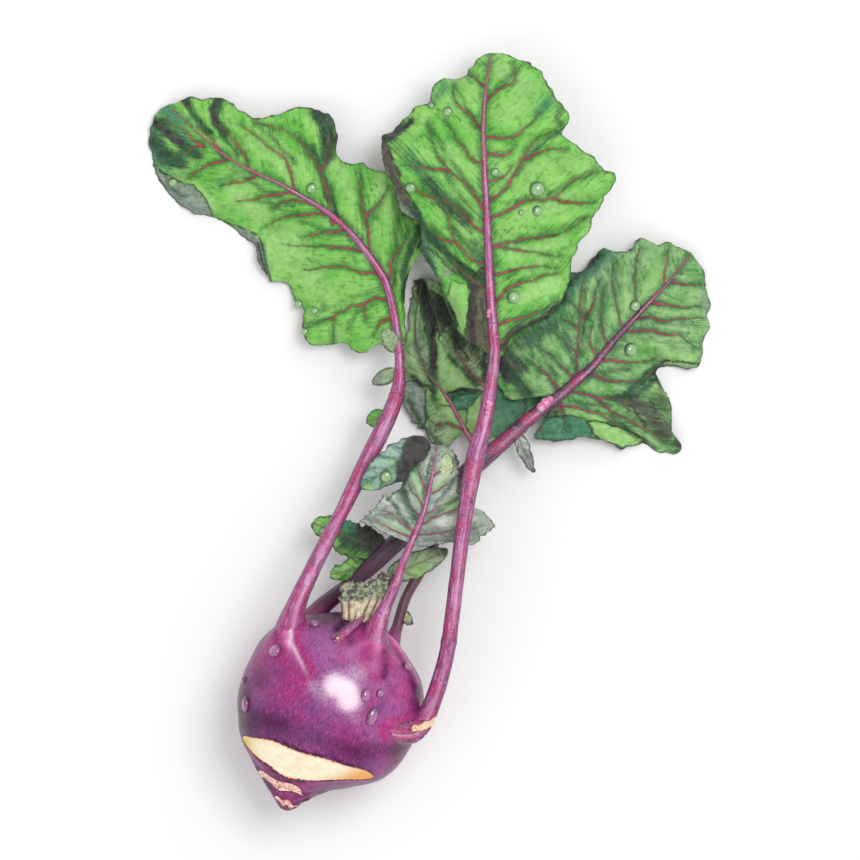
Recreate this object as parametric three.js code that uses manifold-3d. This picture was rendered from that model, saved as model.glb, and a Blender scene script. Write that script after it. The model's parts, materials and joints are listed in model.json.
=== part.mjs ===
// A purple kohlrabi, picked with its leaves and lying on its side. Sizes are in millimetres.
// Seen from above, X runs right and Y runs from the root to the leaf tips. Z is up.
// The origin is the middle of the flat spot that the bulb rests on.
import * as THREE from 'three';
import { mergeVertices } from 'three/addons/utils/BufferGeometryUtils.js';
import Module from 'manifold-3d';

const wasm = await Module();
wasm.setup();

// ---- driving dimensions ----
const BULB_RADIUS = 45.5;
const FLAT_SPOT_RADIUS = 12;
const BULB_LEAN = THREE.MathUtils.degToRad(23.6);   // the bulb's axis turned from +Y towards +X
const WIDEST = 60;                                  // from the root tip to the widest ring
const BLADE_THICKNESS = 1;                          // measured straight up
const GAP = 0.4;                                    // between neighbouring pieces
const STALK_SIDES = 8;
const BLADE_COLUMNS = 4;                            // on each side of the midrib
const BULB_RINGS = 22;
const BULB_SEGMENTS = 36;

const BULB_HEIGHT = Math.sqrt(BULB_RADIUS ** 2 - FLAT_SPOT_RADIUS ** 2);

// Half the bulb's outline: [distance from the root tip, radius].
const BULB_PROFILE = [
  [0, 2], [3, 6], [6, 9], [10.5, 13.5], [18, 22.5], [22.5, 28.5], [31, 37.5], [41, 43], [51, 45.2],
  [60, BULB_RADIUS], [72, 44.5], [82, 40.5], [88, 36], [93, 29], [98, 21], [102, 13], [105, 4],
];

// The swollen leaf bases that run down the bulb: two ends, height and half width.
const RIDGES = [
  { from: [-20, 40, 60], to: [-21, 29, 73], height: 3.5, reach: 6 },
  { from: [-21, 29, 73], to: [-14, 14, 85], height: 2.6, reach: 5 },
  { from: [27, 46, 60], to: [22, 29, 68], height: 4, reach: 6.5 },
  { from: [22, 29, 68], to: [21, 17, 79], height: 1.6, reach: 7 },
  { from: [29, 32, 54], to: [41, 10, 60], height: 3, reach: 6 },
  { from: [28, -14, 75], to: [42, -15, 60], height: 2, reach: 5 },
];

// Stalks with their midribs: [x, y, z, radius], from inside the bulb to the leaf's tip.
// bladeFrom counts the points before the blade.
const LEFT_LEAF = {
  name: 'left_leaf', bladeFrom: 8, rows: 26, stalkSteps: 14,
  route: [
    [-20, 22, 64, 5], [-21, 38.5, 61, 4.8], [-10, 64.5, 55, 4], [4, 92, 48, 3.6], [17, 118.5, 41, 4.1],
    [28.5, 142, 35, 4.2], [33, 156, 31, 3.3], [33.7, 167, 28, 2.5], [33, 177, 26, 2.3],
    [29.5, 199.5, 22, 2.2], [23, 215.5, 19, 2.1], [4, 238.5, 17, 1.8], [-22.5, 256, 15, 1.2],
    [-53.5, 272, 12, 0.8], [-83, 298, 8, 0.5],
  ],
  left: {
    lift: [22, -8, 4], wave: [3.5, 4.5, 0.4],
    margin: [
      [29.5, 175.5], [22.5, 177.5], [15.5, 173], [10, 175.5], [6, 178.5], [-8, 177], [-14.5, 181.5],
      [-15, 194.5], [-19, 200.5], [-22.5, 208], [-32, 210], [-36.5, 218.5], [-38.5, 226.5],
      [-45.5, 232], [-55, 239], [-62.5, 242.5], [-70, 243.5], [-78, 249], [-85.5, 257.5],
      [-91, 268.5], [-92, 277], [-91, 289.5], [-86.5, 296.5],
    ],
  },
  right: {
    lift: [22, 13, 8], wave: [2.5, 5, 2],
    margin: [
      [37, 180], [36.5, 190.5], [36.5, 204.5], [38.5, 213], [42, 220.5], [46.5, 228], [44.5, 238.5],
      [38, 241], [33, 247.5], [29.5, 262.5], [21.5, 264.5], [15, 269], [7, 269.5], [2, 273.5],
      [2.5, 282.5], [0, 290.5], [-6.5, 295.5], [-14.5, 296.5], [-22.5, 295], [-30, 292.5],
      [-38.5, 292], [-45.5, 295], [-53, 300], [-59, 302.5], [-65, 300.5], [-72, 302], [-79, 299],
    ],
  },
};

const TOP_LEAF = {
  name: 'top_leaf', bladeFrom: 9, rows: 26, stalkSteps: 16,
  route: [
    [26.5, -13.5, 77, 2.4], [33.5, -16, 72, 4.6], [41, -14.5, 64.5, 5.6], [48.5, -5, 61, 4.6],
    [57, 22, 60, 3.8], [61.5, 54.5, 60, 3.7], [66, 89.5, 58, 3.9], [71.5, 121, 55, 4.6],
    [76.5, 140, 52, 3.9], [81, 169.5, 49, 2.9], [80.5, 184.5, 48, 2.7], [79, 207, 47, 2.5],
    [77.5, 239, 44, 2.3], [76, 269.5, 40, 1.9], [76, 295, 35, 1.5], [79.5, 323.5, 28, 0.7],
  ],
  left: {
    lift: [40, 34, 26], wave: [3, 5, 1],
    margin: [
      [75.5, 175], [65, 181.5], [60, 195], [55.5, 203.5], [50.5, 214.5], [45, 223], [43.5, 238.5],
      [37, 242.5], [32.5, 248], [30.5, 257], [26, 265.5], [24.5, 281], [30, 284], [37, 292],
      [43, 297], [48, 298.5], [49.5, 305.5], [55.5, 310.5], [62.5, 310.5], [68.5, 314.5],
      [71.5, 319.5], [76.5, 323],
    ],
  },
  right: {
    lift: [42, 34, 26], wave: [3.5, 5, 3],
    margin: [
      [86.5, 173], [89.5, 180.5], [96.5, 185.5], [104, 189], [112.5, 196], [117, 205.5],
      [119.5, 213], [121, 220.5], [123, 227], [129, 235], [131.5, 242.5], [135.5, 249.5],
      [140, 255.5], [141.5, 262.5], [135.5, 265.5], [131, 271], [122, 277.5], [116, 283.5],
      [119.5, 290.5], [116, 296], [110.5, 303], [107.5, 310], [102.5, 316], [94, 320.5],
      [87, 323], [83, 323.5],
    ],
  },
};

const RIGHT_LEAF = {
  name: 'right_leaf', bladeFrom: 8, rows: 24, stalkSteps: 14,
  route: [
    [-16, 33, 26, 4], [-8, 44, 28, 4], [10, 58, 32, 4], [29, 75.5, 32, 4.6], [49, 94.5, 31, 4.9],
    [69, 114.5, 28, 4.8], [84, 127, 25, 4], [99, 140.5, 22, 3.5], [111.5, 150, 19.5, 3],
    [120.5, 157.5, 17.5, 2.6], [130.5, 166.5, 15.5, 2.3], [142, 180, 13.5, 2], [158.5, 198, 11.5, 1.6],
    [170, 210, 10, 1.2], [180.5, 223.5, 8, 0.7],
  ],
  left: {
    lift: [15, 14, 6], wave: [3, 4, 0],
    margin: [
      [105.5, 151.5], [90, 150], [83, 157], [81, 168], [87, 180], [98, 189], [109, 196], [116, 203],
      [119, 212.5], [124.5, 214.5], [129.5, 219.5], [135, 225.5], [145, 224], [150.5, 226.5],
      [155.5, 231], [163.5, 227.5], [168.5, 229.5], [173.5, 227], [178, 225],
    ],
  },
  right: {
    lift: [14, -6, 3], wave: [3, 4, 2.2],
    margin: [
      [113, 144], [101, 131], [115.5, 129], [125, 131], [133.5, 130], [145, 125.5], [150.5, 126],
      [157, 127.5], [163.5, 123.5], [173.5, 122], [175.5, 127.5], [170.5, 132], [171, 146],
      [165, 157], [162.5, 162.5], [166, 167], [182, 165], [186.5, 173], [186.5, 179.5],
      [189.5, 186.5], [188.5, 192.5], [190.5, 198], [188, 205.5], [187, 214], [183, 220.5],
    ],
  },
};

const BACK_LEAF = {
  name: 'back_leaf', bladeFrom: 9, rows: 16, stalkSteps: 12,
  route: [
    [24, 20, 36, 3], [30.5, 29.5, 33, 2.8], [36.5, 49.5, 28, 2.5], [44.5, 64, 23, 2.5],
    [52, 79.5, 18.5, 2.5], [60, 102, 14, 2.4], [68, 116, 12, 2.1], [70.5, 122, 11, 1.9],
    [70.5, 127.5, 10, 1.6], [66.5, 134.5, 9, 1.3], [60.5, 146, 8, 1.1], [55, 154.5, 7, 0.9],
    [49, 161.5, 6.5, 0.8], [44, 172, 6, 0.7], [41.5, 187, 5, 0.6], [45, 210.5, 4, 0.5],
  ],
  left: {
    lift: [8, 2, 4], wave: [1.5, 3, 0],
    margin: [
      [62, 130], [55, 124], [47, 132.5], [40, 139.5], [35.5, 150.5], [35, 163.5], [34, 174.5],
      [38, 185.5], [39, 199.5], [41, 210],
    ],
  },
  right: {
    lift: [8, 1, 4], wave: [1.5, 3, 2],
    margin: [
      [77, 128], [90, 128], [98, 134], [104, 142], [105, 152], [104, 162], [101, 173.5], [91.5, 182],
      [80, 189.5], [69, 198], [57, 206.5], [49, 211],
    ],
  },
};

const SMALL_LEAF = {
  name: 'small_leaf', bladeFrom: 5, rows: 16, stalkSteps: 8,
  route: [
    [20, 24.5, 64, 4], [23, 37, 66, 3.8], [27, 47, 64, 3.2], [31.5, 57, 61, 2.5], [35, 67, 58, 2.1],
    [39.5, 78, 55.5, 1.8], [43.5, 87.5, 54, 1.6], [46.5, 96, 53, 1.4], [49, 106.5, 52, 1.2],
    [51, 116.5, 51.5, 1], [52.5, 127, 51, 0.6],
  ],
  left: {
    lift: [54, 49, 50], wave: [1.5, 3, 0],
    margin: [
      [35, 79.5], [29, 82], [19.5, 86.5], [14.5, 89], [17.5, 92], [24.5, 99.5], [26, 102.5],
      [33.5, 105], [35.5, 114], [40, 117], [46, 124.5], [49.5, 126.5],
    ],
  },
  right: {
    lift: [51, 44, 46], wave: [1, 3, 1],
    margin: [
      [44, 76], [59, 78], [70.5, 77.5], [76, 82.5], [81, 86], [76, 93.5], [70.5, 96.5],
      [64.5, 103], [63.5, 114.5], [62, 123], [55.5, 127],
    ],
  },
};

// The youngest leaf at the crown, with a curled stub of a stalk beside it.
const HEART_LEAF = {
  name: 'heart_leaf',
  route: [[10, 32, 54, 4], [12, 44, 60, 3.2], [14, 52, 60, 2.2], [15, 58, 59, 1.2]],
  stub: [[1.5, 29.5, 77.5, 2.6], [7, 34, 73, 2.2], [12, 38, 67.5, 1.8], [16.5, 41.5, 63, 1.4]],
  steps: 6,
  leaflets: [
    { root: [9, 39.5, 64], tip: [6.5, 57, 57.5], width: 7, ripple: 1.2 },
    { root: [13, 38.5, 64], tip: [18, 60, 58], width: 8, ripple: 1.5 },
    { root: [15.5, 40.5, 62], tip: [26.5, 58.5, 54], width: 6, ripple: 1.2 },
  ],
};

// Leaflets: root inside the stalk, tip, half width and the height of the ripples.
const LEAFLETS = {
  left_leaf: [
    { root: [32.5, 174, 26.5], tip: [26, 185, 32], width: 4.5, ripple: 0.4 },
    { root: [32.5, 164, 29], tip: [20, 158, 25], width: 4, ripple: 0.5 },
    { root: [27, 141, 35], tip: [17, 139, 28], width: 5, ripple: 0.6 },
  ],
  right_leaf: [
    { root: [27, 73.5, 32], tip: [-10, 88, 27], width: 9, ripple: 1.6 },
    { root: [20, 67, 32], tip: [-1, 62, 37], width: 5.5, ripple: 1 },
    { root: [92, 134, 23.5], tip: [101, 113, 15], width: 3.5, ripple: 1 },
  ],
  back_leaf: [
    { root: [28, 61, 26.4], tip: [58, 74, 27], width: 6.5, ripple: 0.8 },
    { root: [34, 44, 29.5], tip: [40, 37, 33], width: 3, ripple: 0.6 },
  ],
  small_leaf: [
    { root: [48.5, 129, 50.2], tip: [14.5, 106, 50.5], width: 9, ripple: 0.8 },
    { root: [56.5, 111.5, 49.5], tip: [57.5, 122.5, 52.5], width: 3.2, ripple: 0.3 },
  ],
};

const PURPLE = { color: '#8c3c78', roughness: 0.4, metalness: 0 };
const STALK_PURPLE = { color: '#a54b82', roughness: 0.45, metalness: 0 };
const GREEN = { color: '#69b946', roughness: 0.6, metalness: 0 };
const DARK_GREEN = { color: '#465a3c', roughness: 0.6, metalness: 0 };
const GREY_GREEN = { color: '#96a095', roughness: 0.65, metalness: 0 };
const PALE_GREEN = { color: '#c8cd9b', roughness: 0.6, metalness: 0 };

// ---- meshes and solids ----
function closedGeometry(points, faces) {
  const geometry = new THREE.BufferGeometry();
  const positions = points.flatMap((p) => [p.x, p.y, p.z]);
  geometry.setAttribute('position', new THREE.Float32BufferAttribute(positions, 3));
  geometry.setIndex(faces.flat());
  return geometry;
}

function toSolid(geometry) {
  const merged = mergeVertices(geometry, 1e-4);
  return new wasm.Manifold(new wasm.Mesh({
    numProp: 3,
    vertProperties: new Float32Array(merged.getAttribute('position').array),
    triVerts: new Uint32Array(merged.getIndex().array),
  }));
}

function fromSolid(solid) {
  const mesh = solid.getMesh();
  const geometry = new THREE.BufferGeometry();
  geometry.setAttribute('position', new THREE.BufferAttribute(mesh.vertProperties, 3));
  geometry.setIndex(new THREE.BufferAttribute(mesh.triVerts, 1));
  return geometry;
}

function namedMesh(name, solid, look) {
  const mesh = new THREE.Mesh(fromSolid(solid), new THREE.MeshStandardMaterial(look));
  mesh.name = name;
  return mesh;
}

// ---- curves ----
// A route's centre, radius and sideways direction at t, from 0 to 1.
function makeRoute(list) {
  const curve = new THREE.CatmullRomCurve3(
    list.map(([x, y, z]) => new THREE.Vector3(x, y, z)), false, 'catmullrom', 0.5);
  return (t) => {
    const place = t * (list.length - 1);
    const before = Math.min(Math.floor(place), list.length - 2);
    const tangent = curve.getTangent(t);
    return {
      centre: curve.getPoint(t),
      radius: THREE.MathUtils.lerp(list[before][3], list[before + 1][3], place - before),
      tangent,
      side: new THREE.Vector3(tangent.y, -tangent.x, 0).normalize(),
    };
  };
}

function makeMargin(list) {
  const curve = new THREE.CatmullRomCurve3(
    list.map(([x, y]) => new THREE.Vector3(x, y, 0)), false, 'catmullrom', 0.5);
  curve.arcLengthDivisions = 400;
  return curve;
}

// ---- stalks ----
// A closed tube through the given places on a route, with `extra` added to its radius.
function tube(route, places, extra = 0) {
  const points = [];
  const faces = [];
  const rings = places.map(route);
  const first = rings[0];
  const last = rings[rings.length - 1];
  first.centre.addScaledVector(first.tangent, -extra);
  last.centre.addScaledVector(last.tangent, extra);
  for (const { centre, radius, tangent, side } of rings) {
    const up = new THREE.Vector3().crossVectors(side, tangent).normalize();
    for (let k = 0; k < STALK_SIDES; k++) {
      const angle = (k / STALK_SIDES) * 2 * Math.PI;
      points.push(centre.clone()
        .addScaledVector(side, (radius + extra) * Math.cos(angle))
        .addScaledVector(up, (radius + extra) * Math.sin(angle)));
    }
  }
  for (let i = 0; i + 1 < rings.length; i++) {
    for (let k = 0; k < STALK_SIDES; k++) {
      const a = i * STALK_SIDES + k;
      const b = i * STALK_SIDES + (k + 1) % STALK_SIDES;
      faces.push([a, b + STALK_SIDES, b], [a, a + STALK_SIDES, b + STALK_SIDES]);
    }
  }
  const start = points.length;
  points.push(first.centre, last.centre);
  const lastRing = (rings.length - 1) * STALK_SIDES;
  for (let k = 0; k < STALK_SIDES; k++) {
    const next = (k + 1) % STALK_SIDES;
    faces.push([start, k, next], [start + 1, lastRing + next, lastRing + k]);
  }
  return toSolid(closedGeometry(points, faces));
}

// ---- sheets ----
// A thin closed body over a grid of points, split into triangles alike on both faces.
function sheet(grid) {
  const rows = grid.length;
  const columns = grid[0].length;
  const half = BLADE_THICKNESS / 2;
  const up = new THREE.Vector3(0, 0, half);
  const points = [...grid.flat().map((p) => p.clone().add(up)), ...grid.flat().map((p) => p.clone().sub(up))];
  const under = rows * columns;
  const faces = [];
  for (let i = 0; i + 1 < rows; i++) {
    for (let j = 0; j + 1 < columns; j++) {
      const a = i * columns + j;
      const b = a + 1;
      const c = b + columns;
      const d = a + columns;
      faces.push([a, b, c], [a, c, d]);
      faces.push([under + a, under + c, under + b], [under + a, under + d, under + c]);
    }
  }
  const rim = [];
  for (let j = 0; j < columns; j++) rim.push(j);
  for (let i = 1; i < rows; i++) rim.push(i * columns + columns - 1);
  for (let j = columns - 2; j >= 0; j--) rim.push((rows - 1) * columns + j);
  for (let i = rows - 2; i > 0; i--) rim.push(i * columns);
  for (let k = 0; k < rim.length; k++) {
    const a = rim[k];
    const b = rim[(k + 1) % rim.length];
    faces.push([a, under + a, under + b], [a, under + b, b]);
  }
  return toSolid(closedGeometry(points, faces));
}

function edgeHeight({ lift: [start, middle, end], wave: [height, count, phase] }, u) {
  const level = start * (1 - u) ** 2 + 2 * middle * u * (1 - u) + end * u ** 2;
  const swing = height * Math.sin(Math.PI * 2 * count * u + phase) * Math.sin(Math.PI * u) ** 0.5;
  return level + swing;
}

// One row of a blade: from the left margin, down under the midrib, to the right margin.
function bladeRow(route, leaf, margins, from, u) {
  const { centre, radius, side } = route(from + (1 - from) * u);
  const trough = Math.SQRT2 * radius + 1.5 * (1 - u) + 1.1 * u;
  const lowest = BLADE_THICKNESS / 2;
  const half = (which, sign) => {
    const inner = centre.clone().addScaledVector(side, sign * trough);
    const edge = margins[which].getPointAt(u);
    edge.z = edgeHeight(leaf[which], u);
    const cells = [];
    for (let k = 0; k <= BLADE_COLUMNS; k++) {
      const s = k / BLADE_COLUMNS;
      const point = inner.clone().lerp(edge, s);
      point.z = Math.max(lowest, THREE.MathUtils.lerp(inner.z, edge.z, s ** 1.4));
      cells.push(point);
    }
    return cells;
  };
  const middle = centre.clone();
  middle.z = Math.max(lowest, centre.z - trough);
  return [...half('left', -1).reverse(), middle, ...half('right', 1)];
}

function blade(leaf) {
  const route = makeRoute(leaf.route);
  const from = leaf.bladeFrom / (leaf.route.length - 1);
  const margins = { left: makeMargin(leaf.left.margin), right: makeMargin(leaf.right.margin) };
  const grid = [];
  for (let i = 0; i <= leaf.rows; i++) grid.push(bladeRow(route, leaf, margins, from, i / leaf.rows));
  return sheet(grid);
}

// A small rippled lobe that grows from its root.
function leaflet({ root, tip, width, ripple }) {
  const [start, end] = [new THREE.Vector3(...root), new THREE.Vector3(...tip)];
  const along = end.clone().sub(start);
  const across = new THREE.Vector3(along.y, -along.x, 0).normalize();
  const rows = 8;
  const columns = 4;
  const grid = [];
  for (let i = 0; i <= rows; i++) {
    const u = i / rows;
    const half = Math.max(0.8, width * Math.sin(Math.PI * u ** 0.8) ** 0.7);
    const row = [];
    for (let j = 0; j <= columns; j++) {
      const s = 2 * j / columns - 1;
      const point = start.clone().addScaledVector(along, u).addScaledVector(across, s * half);
      point.z += ripple * s * s * Math.sin(5 * Math.PI * u + s) - 0.06 * width * s * s;
      row.push(point);
    }
    grid.push(row);
  }
  return sheet(grid);
}

// ---- leaves ----
const evenly = (count, start, end) =>
  Array.from({ length: count }, (_, i) => start + (end - start) * i / count);

function stalkPlaces(leaf) {
  const from = leaf.bladeFrom / (leaf.route.length - 1);
  return [...evenly(leaf.stalkSteps, 0, from), ...evenly(leaf.rows, from, 1)];
}

function withLeaflets(solid, leaflets) {
  return leaflets.reduce((joined, spec) => joined.add(leaflet(spec)), solid);
}

function leafMeshes(leaf, look, leafletsOn) {
  let stalk = tube(makeRoute(leaf.route), stalkPlaces(leaf));
  let green = blade(leaf);
  const leaflets = LEAFLETS[leaf.name] ?? [];
  if (leafletsOn === 'stalk') stalk = withLeaflets(stalk, leaflets);
  else green = withLeaflets(green, leaflets);
  return [
    namedMesh(`${leaf.name}_stalk`, stalk, STALK_PURPLE),
    namedMesh(`${leaf.name}_blade`, green, look),
  ];
}

function heartLeaf() {
  const places = [...evenly(HEART_LEAF.steps, 0, 1), 1];
  const stub = tube(makeRoute(HEART_LEAF.stub), places);
  const solid = tube(makeRoute(HEART_LEAF.route), places).add(stub);
  return namedMesh(HEART_LEAF.name, withLeaflets(solid, HEART_LEAF.leaflets), PALE_GREEN);
}

// ---- bulb ----
const AXIS = new THREE.Vector3(Math.sin(BULB_LEAN), Math.cos(BULB_LEAN), 0);
const ACROSS = new THREE.Vector3(Math.cos(BULB_LEAN), -Math.sin(BULB_LEAN), 0);

// The pared band is a lens on the upper side. This is 1 along its middle and 0 at its edge.
function paring(along, angle) {
  const turn = THREE.MathUtils.radToDeg(angle) - 8;
  const q = turn < 0 ? turn / 96 : turn / 60;
  if (Math.abs(q) >= 1) return -1;
  const middle = 24.6 + 11 * Math.max(0, Math.sin(angle)) ** 1.6;
  const half = 6.5 * (1 - q * q) ** 1.2;
  return 1 - ((along - middle) / half) ** 2;
}

function ridgeHeight(point) {
  let height = 0;
  for (const ridge of RIDGES) {
    const line = new THREE.Line3(new THREE.Vector3(...ridge.from), new THREE.Vector3(...ridge.to));
    const nearest = line.closestPointToPoint(point, true, new THREE.Vector3());
    height = Math.max(height, ridge.height * Math.exp(-((point.distanceTo(nearest) / ridge.reach) ** 2)));
  }
  return height;
}

function bulbPoint(profile, i, k) {
  const { x: along, y: plainRadius } = profile.getPointAt(i / BULB_RINGS);
  const angle = (k / BULB_SEGMENTS) * 2 * Math.PI;
  const out = new THREE.Vector3(0, 0, Math.cos(angle)).addScaledVector(ACROSS, Math.sin(angle));
  const rootSway = -4.5 * Math.sin(Math.PI * Math.min(along / 34, 1)) ** 1.5;
  const onAxis = new THREE.Vector3(0, 0, BULB_HEIGHT)
    .addScaledVector(AXIS, along - WIDEST)
    .addScaledVector(ACROSS, rootSway);
  const plain = onAxis.clone().addScaledVector(out, plainRadius);
  const bite = 1.3 * Math.sqrt(Math.max(0, paring(along, angle)));
  const point = plain.addScaledVector(out, ridgeHeight(plain) - bite);
  point.z = Math.max(0, point.z);
  return point;
}

function bulbBody() {
  const profile = new THREE.SplineCurve(BULB_PROFILE.map(([along, r]) => new THREE.Vector2(along, r)));
  const points = [];
  const faces = [];
  for (let i = 0; i <= BULB_RINGS; i++) {
    for (let k = 0; k < BULB_SEGMENTS; k++) points.push(bulbPoint(profile, i, k));
  }
  const at = (i, k) => i * BULB_SEGMENTS + (k % BULB_SEGMENTS);
  for (let i = 0; i < BULB_RINGS; i++) {
    for (let k = 0; k < BULB_SEGMENTS; k++) {
      faces.push([at(i, k), at(i, k + 1), at(i + 1, k + 1)], [at(i, k), at(i + 1, k + 1), at(i + 1, k)]);
    }
  }
  const rootTip = points.length;
  points.push(new THREE.Vector3(0, 0, BULB_HEIGHT).addScaledVector(AXIS, -WIDEST - 0.8));
  points.push(new THREE.Vector3(0, 0, BULB_HEIGHT).addScaledVector(AXIS, BULB_PROFILE.at(-1)[0] - WIDEST + 0.6));
  for (let k = 0; k < BULB_SEGMENTS; k++) {
    faces.push([rootTip, at(0, k + 1), at(0, k)]);
    faces.push([rootTip + 1, at(BULB_RINGS, k), at(BULB_RINGS, k + 1)]);
  }
  return toSolid(closedGeometry(points, faces));
}

// The bulb has a plain socket for each stalk.
function bulb(leaves) {
  let solid = bulbBody();
  for (const leaf of leaves) solid = solid.subtract(tube(makeRoute(leaf.route), stalkPlaces(leaf), GAP));
  for (const list of [HEART_LEAF.route, HEART_LEAF.stub]) {
    solid = solid.subtract(tube(makeRoute(list), [...evenly(HEART_LEAF.steps, 0, 1), 1], GAP));
  }
  return namedMesh('bulb', solid, PURPLE);
}

// ---- the whole kohlrabi ----
const LEAVES = [LEFT_LEAF, TOP_LEAF, RIGHT_LEAF, BACK_LEAF, SMALL_LEAF];
const kohlrabi = new THREE.Group();
kohlrabi.add(bulb(LEAVES));
kohlrabi.add(...leafMeshes(LEFT_LEAF, GREEN, 'stalk'));
kohlrabi.add(...leafMeshes(TOP_LEAF, GREEN, 'stalk'));
kohlrabi.add(...leafMeshes(RIGHT_LEAF, GREEN, 'stalk'));
kohlrabi.add(...leafMeshes(BACK_LEAF, DARK_GREEN, 'stalk'));
kohlrabi.add(...leafMeshes(SMALL_LEAF, GREY_GREEN, 'blade'));
kohlrabi.add(heartLeaf());

export default kohlrabi;
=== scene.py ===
"""A purple kohlrabi as picked, lying on its side with its leaves spread to one end."""
import json
import math

import bpy
import numpy as np
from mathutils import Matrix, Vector
from mathutils.bvhtree import BVHTree

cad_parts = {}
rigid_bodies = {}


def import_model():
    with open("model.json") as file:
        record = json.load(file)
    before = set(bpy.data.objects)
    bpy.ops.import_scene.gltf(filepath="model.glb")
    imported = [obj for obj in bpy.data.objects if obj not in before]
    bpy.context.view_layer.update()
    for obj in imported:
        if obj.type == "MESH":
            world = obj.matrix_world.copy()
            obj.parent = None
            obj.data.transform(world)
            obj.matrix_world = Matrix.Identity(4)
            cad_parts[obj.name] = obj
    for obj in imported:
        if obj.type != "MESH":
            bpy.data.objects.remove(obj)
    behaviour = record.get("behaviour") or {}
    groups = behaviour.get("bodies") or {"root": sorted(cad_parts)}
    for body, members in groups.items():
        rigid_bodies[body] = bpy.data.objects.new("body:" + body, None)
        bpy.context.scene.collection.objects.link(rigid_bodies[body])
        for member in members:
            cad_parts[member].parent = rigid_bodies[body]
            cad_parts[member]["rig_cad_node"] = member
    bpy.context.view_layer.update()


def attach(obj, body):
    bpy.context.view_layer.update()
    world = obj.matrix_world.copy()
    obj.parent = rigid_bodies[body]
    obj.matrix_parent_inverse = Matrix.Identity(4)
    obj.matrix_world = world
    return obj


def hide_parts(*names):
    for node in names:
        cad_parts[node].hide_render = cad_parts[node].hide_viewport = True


bl_info = {
    "name": "Kohlrabi",
    "version": (1, 0, 0),
    "blender": (4, 5, 0),
    "location": "3D View > Sidebar > Kohlrabi",
    "description": "Builds a purple kohlrabi with its stalks, leaf blades and water drops",
    "category": "Add Mesh",
}

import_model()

MM = 0.001
BODY = "root"
UP = np.array([0.0, 0.0, 1.0])
FAR = 1000                  # farther than any place on the kohlrabi, in millimetres
LATTICE = 97                # random heights each way in the soft noise
LINE_STEPS = 800            # steps in which a smooth line's length is measured
NOISE_ROUGHNESS = 0.55

# Columns and rows of the grids that the pieces are rolled or spread from.
BULB_GRID = (290, 250)
LEAFLET_GRID = (36, 52)
LOBE_GRID = (70, 78)
STALK_COLUMNS = 36
STALK_ROWS = 400
HEART_STALK_ROWS = 90
HEART_STUB_ROWS = 80

# ---- the bulb, in millimetres ----
# Its outline: distance from the root tip, and radius there.
BULB_PROFILE = [
    (0, 0), (0, 2), (3, 6), (6, 9), (10.5, 13.5), (18, 22.5), (22.5, 28.5), (31, 37.5), (41, 43),
    (51, 45.2), (60, 45.5), (72, 44.5), (82, 40.5), (88, 36), (93, 29), (98, 21), (102, 13), (105, 4),
    (105.6, 0),
]
PROFILE_STEPS = 60          # places on the outline that a distance is measured to
ROOT_LENGTH = 34
ROOT_SWAY = 4.5             # how far the root cone bends to the left
ROOT_ZONE = (26, 8)         # where the root's rough skin starts, and where it is all rough
CROWN_ZONE = (76, 100)      # the same for the crown's grooves
DENTS = (0.4, 11, 3), (0.12, 5, 4)      # height, size and seed, as for all layers of noise

# Cuts on the upper side: middle from the root tip, how far the right end climbs, height and count
# of the waves, half width, reach to either side in degrees, and turn in degrees.
PARING = (23.6, 11, (0.4, 9), 8, (98, 56), 12)
STRIPE = (11.2, 0, (0.9, 5), 2.2, (88, 60), -8)
SCRAPE = (3.4, 0, (0.7, 7), 1.5, (60, 80), 0)
STRIPE_DEPTH = 0.45

# The swollen leaf bases that run down the bulb: two ends, height and half width.
RIDGES = [
    ((-20, 40, 60), (-21, 29, 73), 3.5, 6), ((-21, 29, 73), (-14, 14, 85), 2.6, 5),
    ((27, 46, 60), (22, 29, 68), 4, 6.5), ((22, 29, 68), (21, 17, 79), 1.6, 7),
    ((29, 32, 54), (41, 10, 60), 3, 6), ((28, -14, 75), (42, -15, 60), 2, 5),
]

# Low webs that spread from the small stalk's foot, in the same form.
WEBS = [((20, 31, 69), (8, 24, 82.5), 2.0, 5), ((26, 28, 68), (33, 20, 68), 1.4, 4)]

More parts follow.
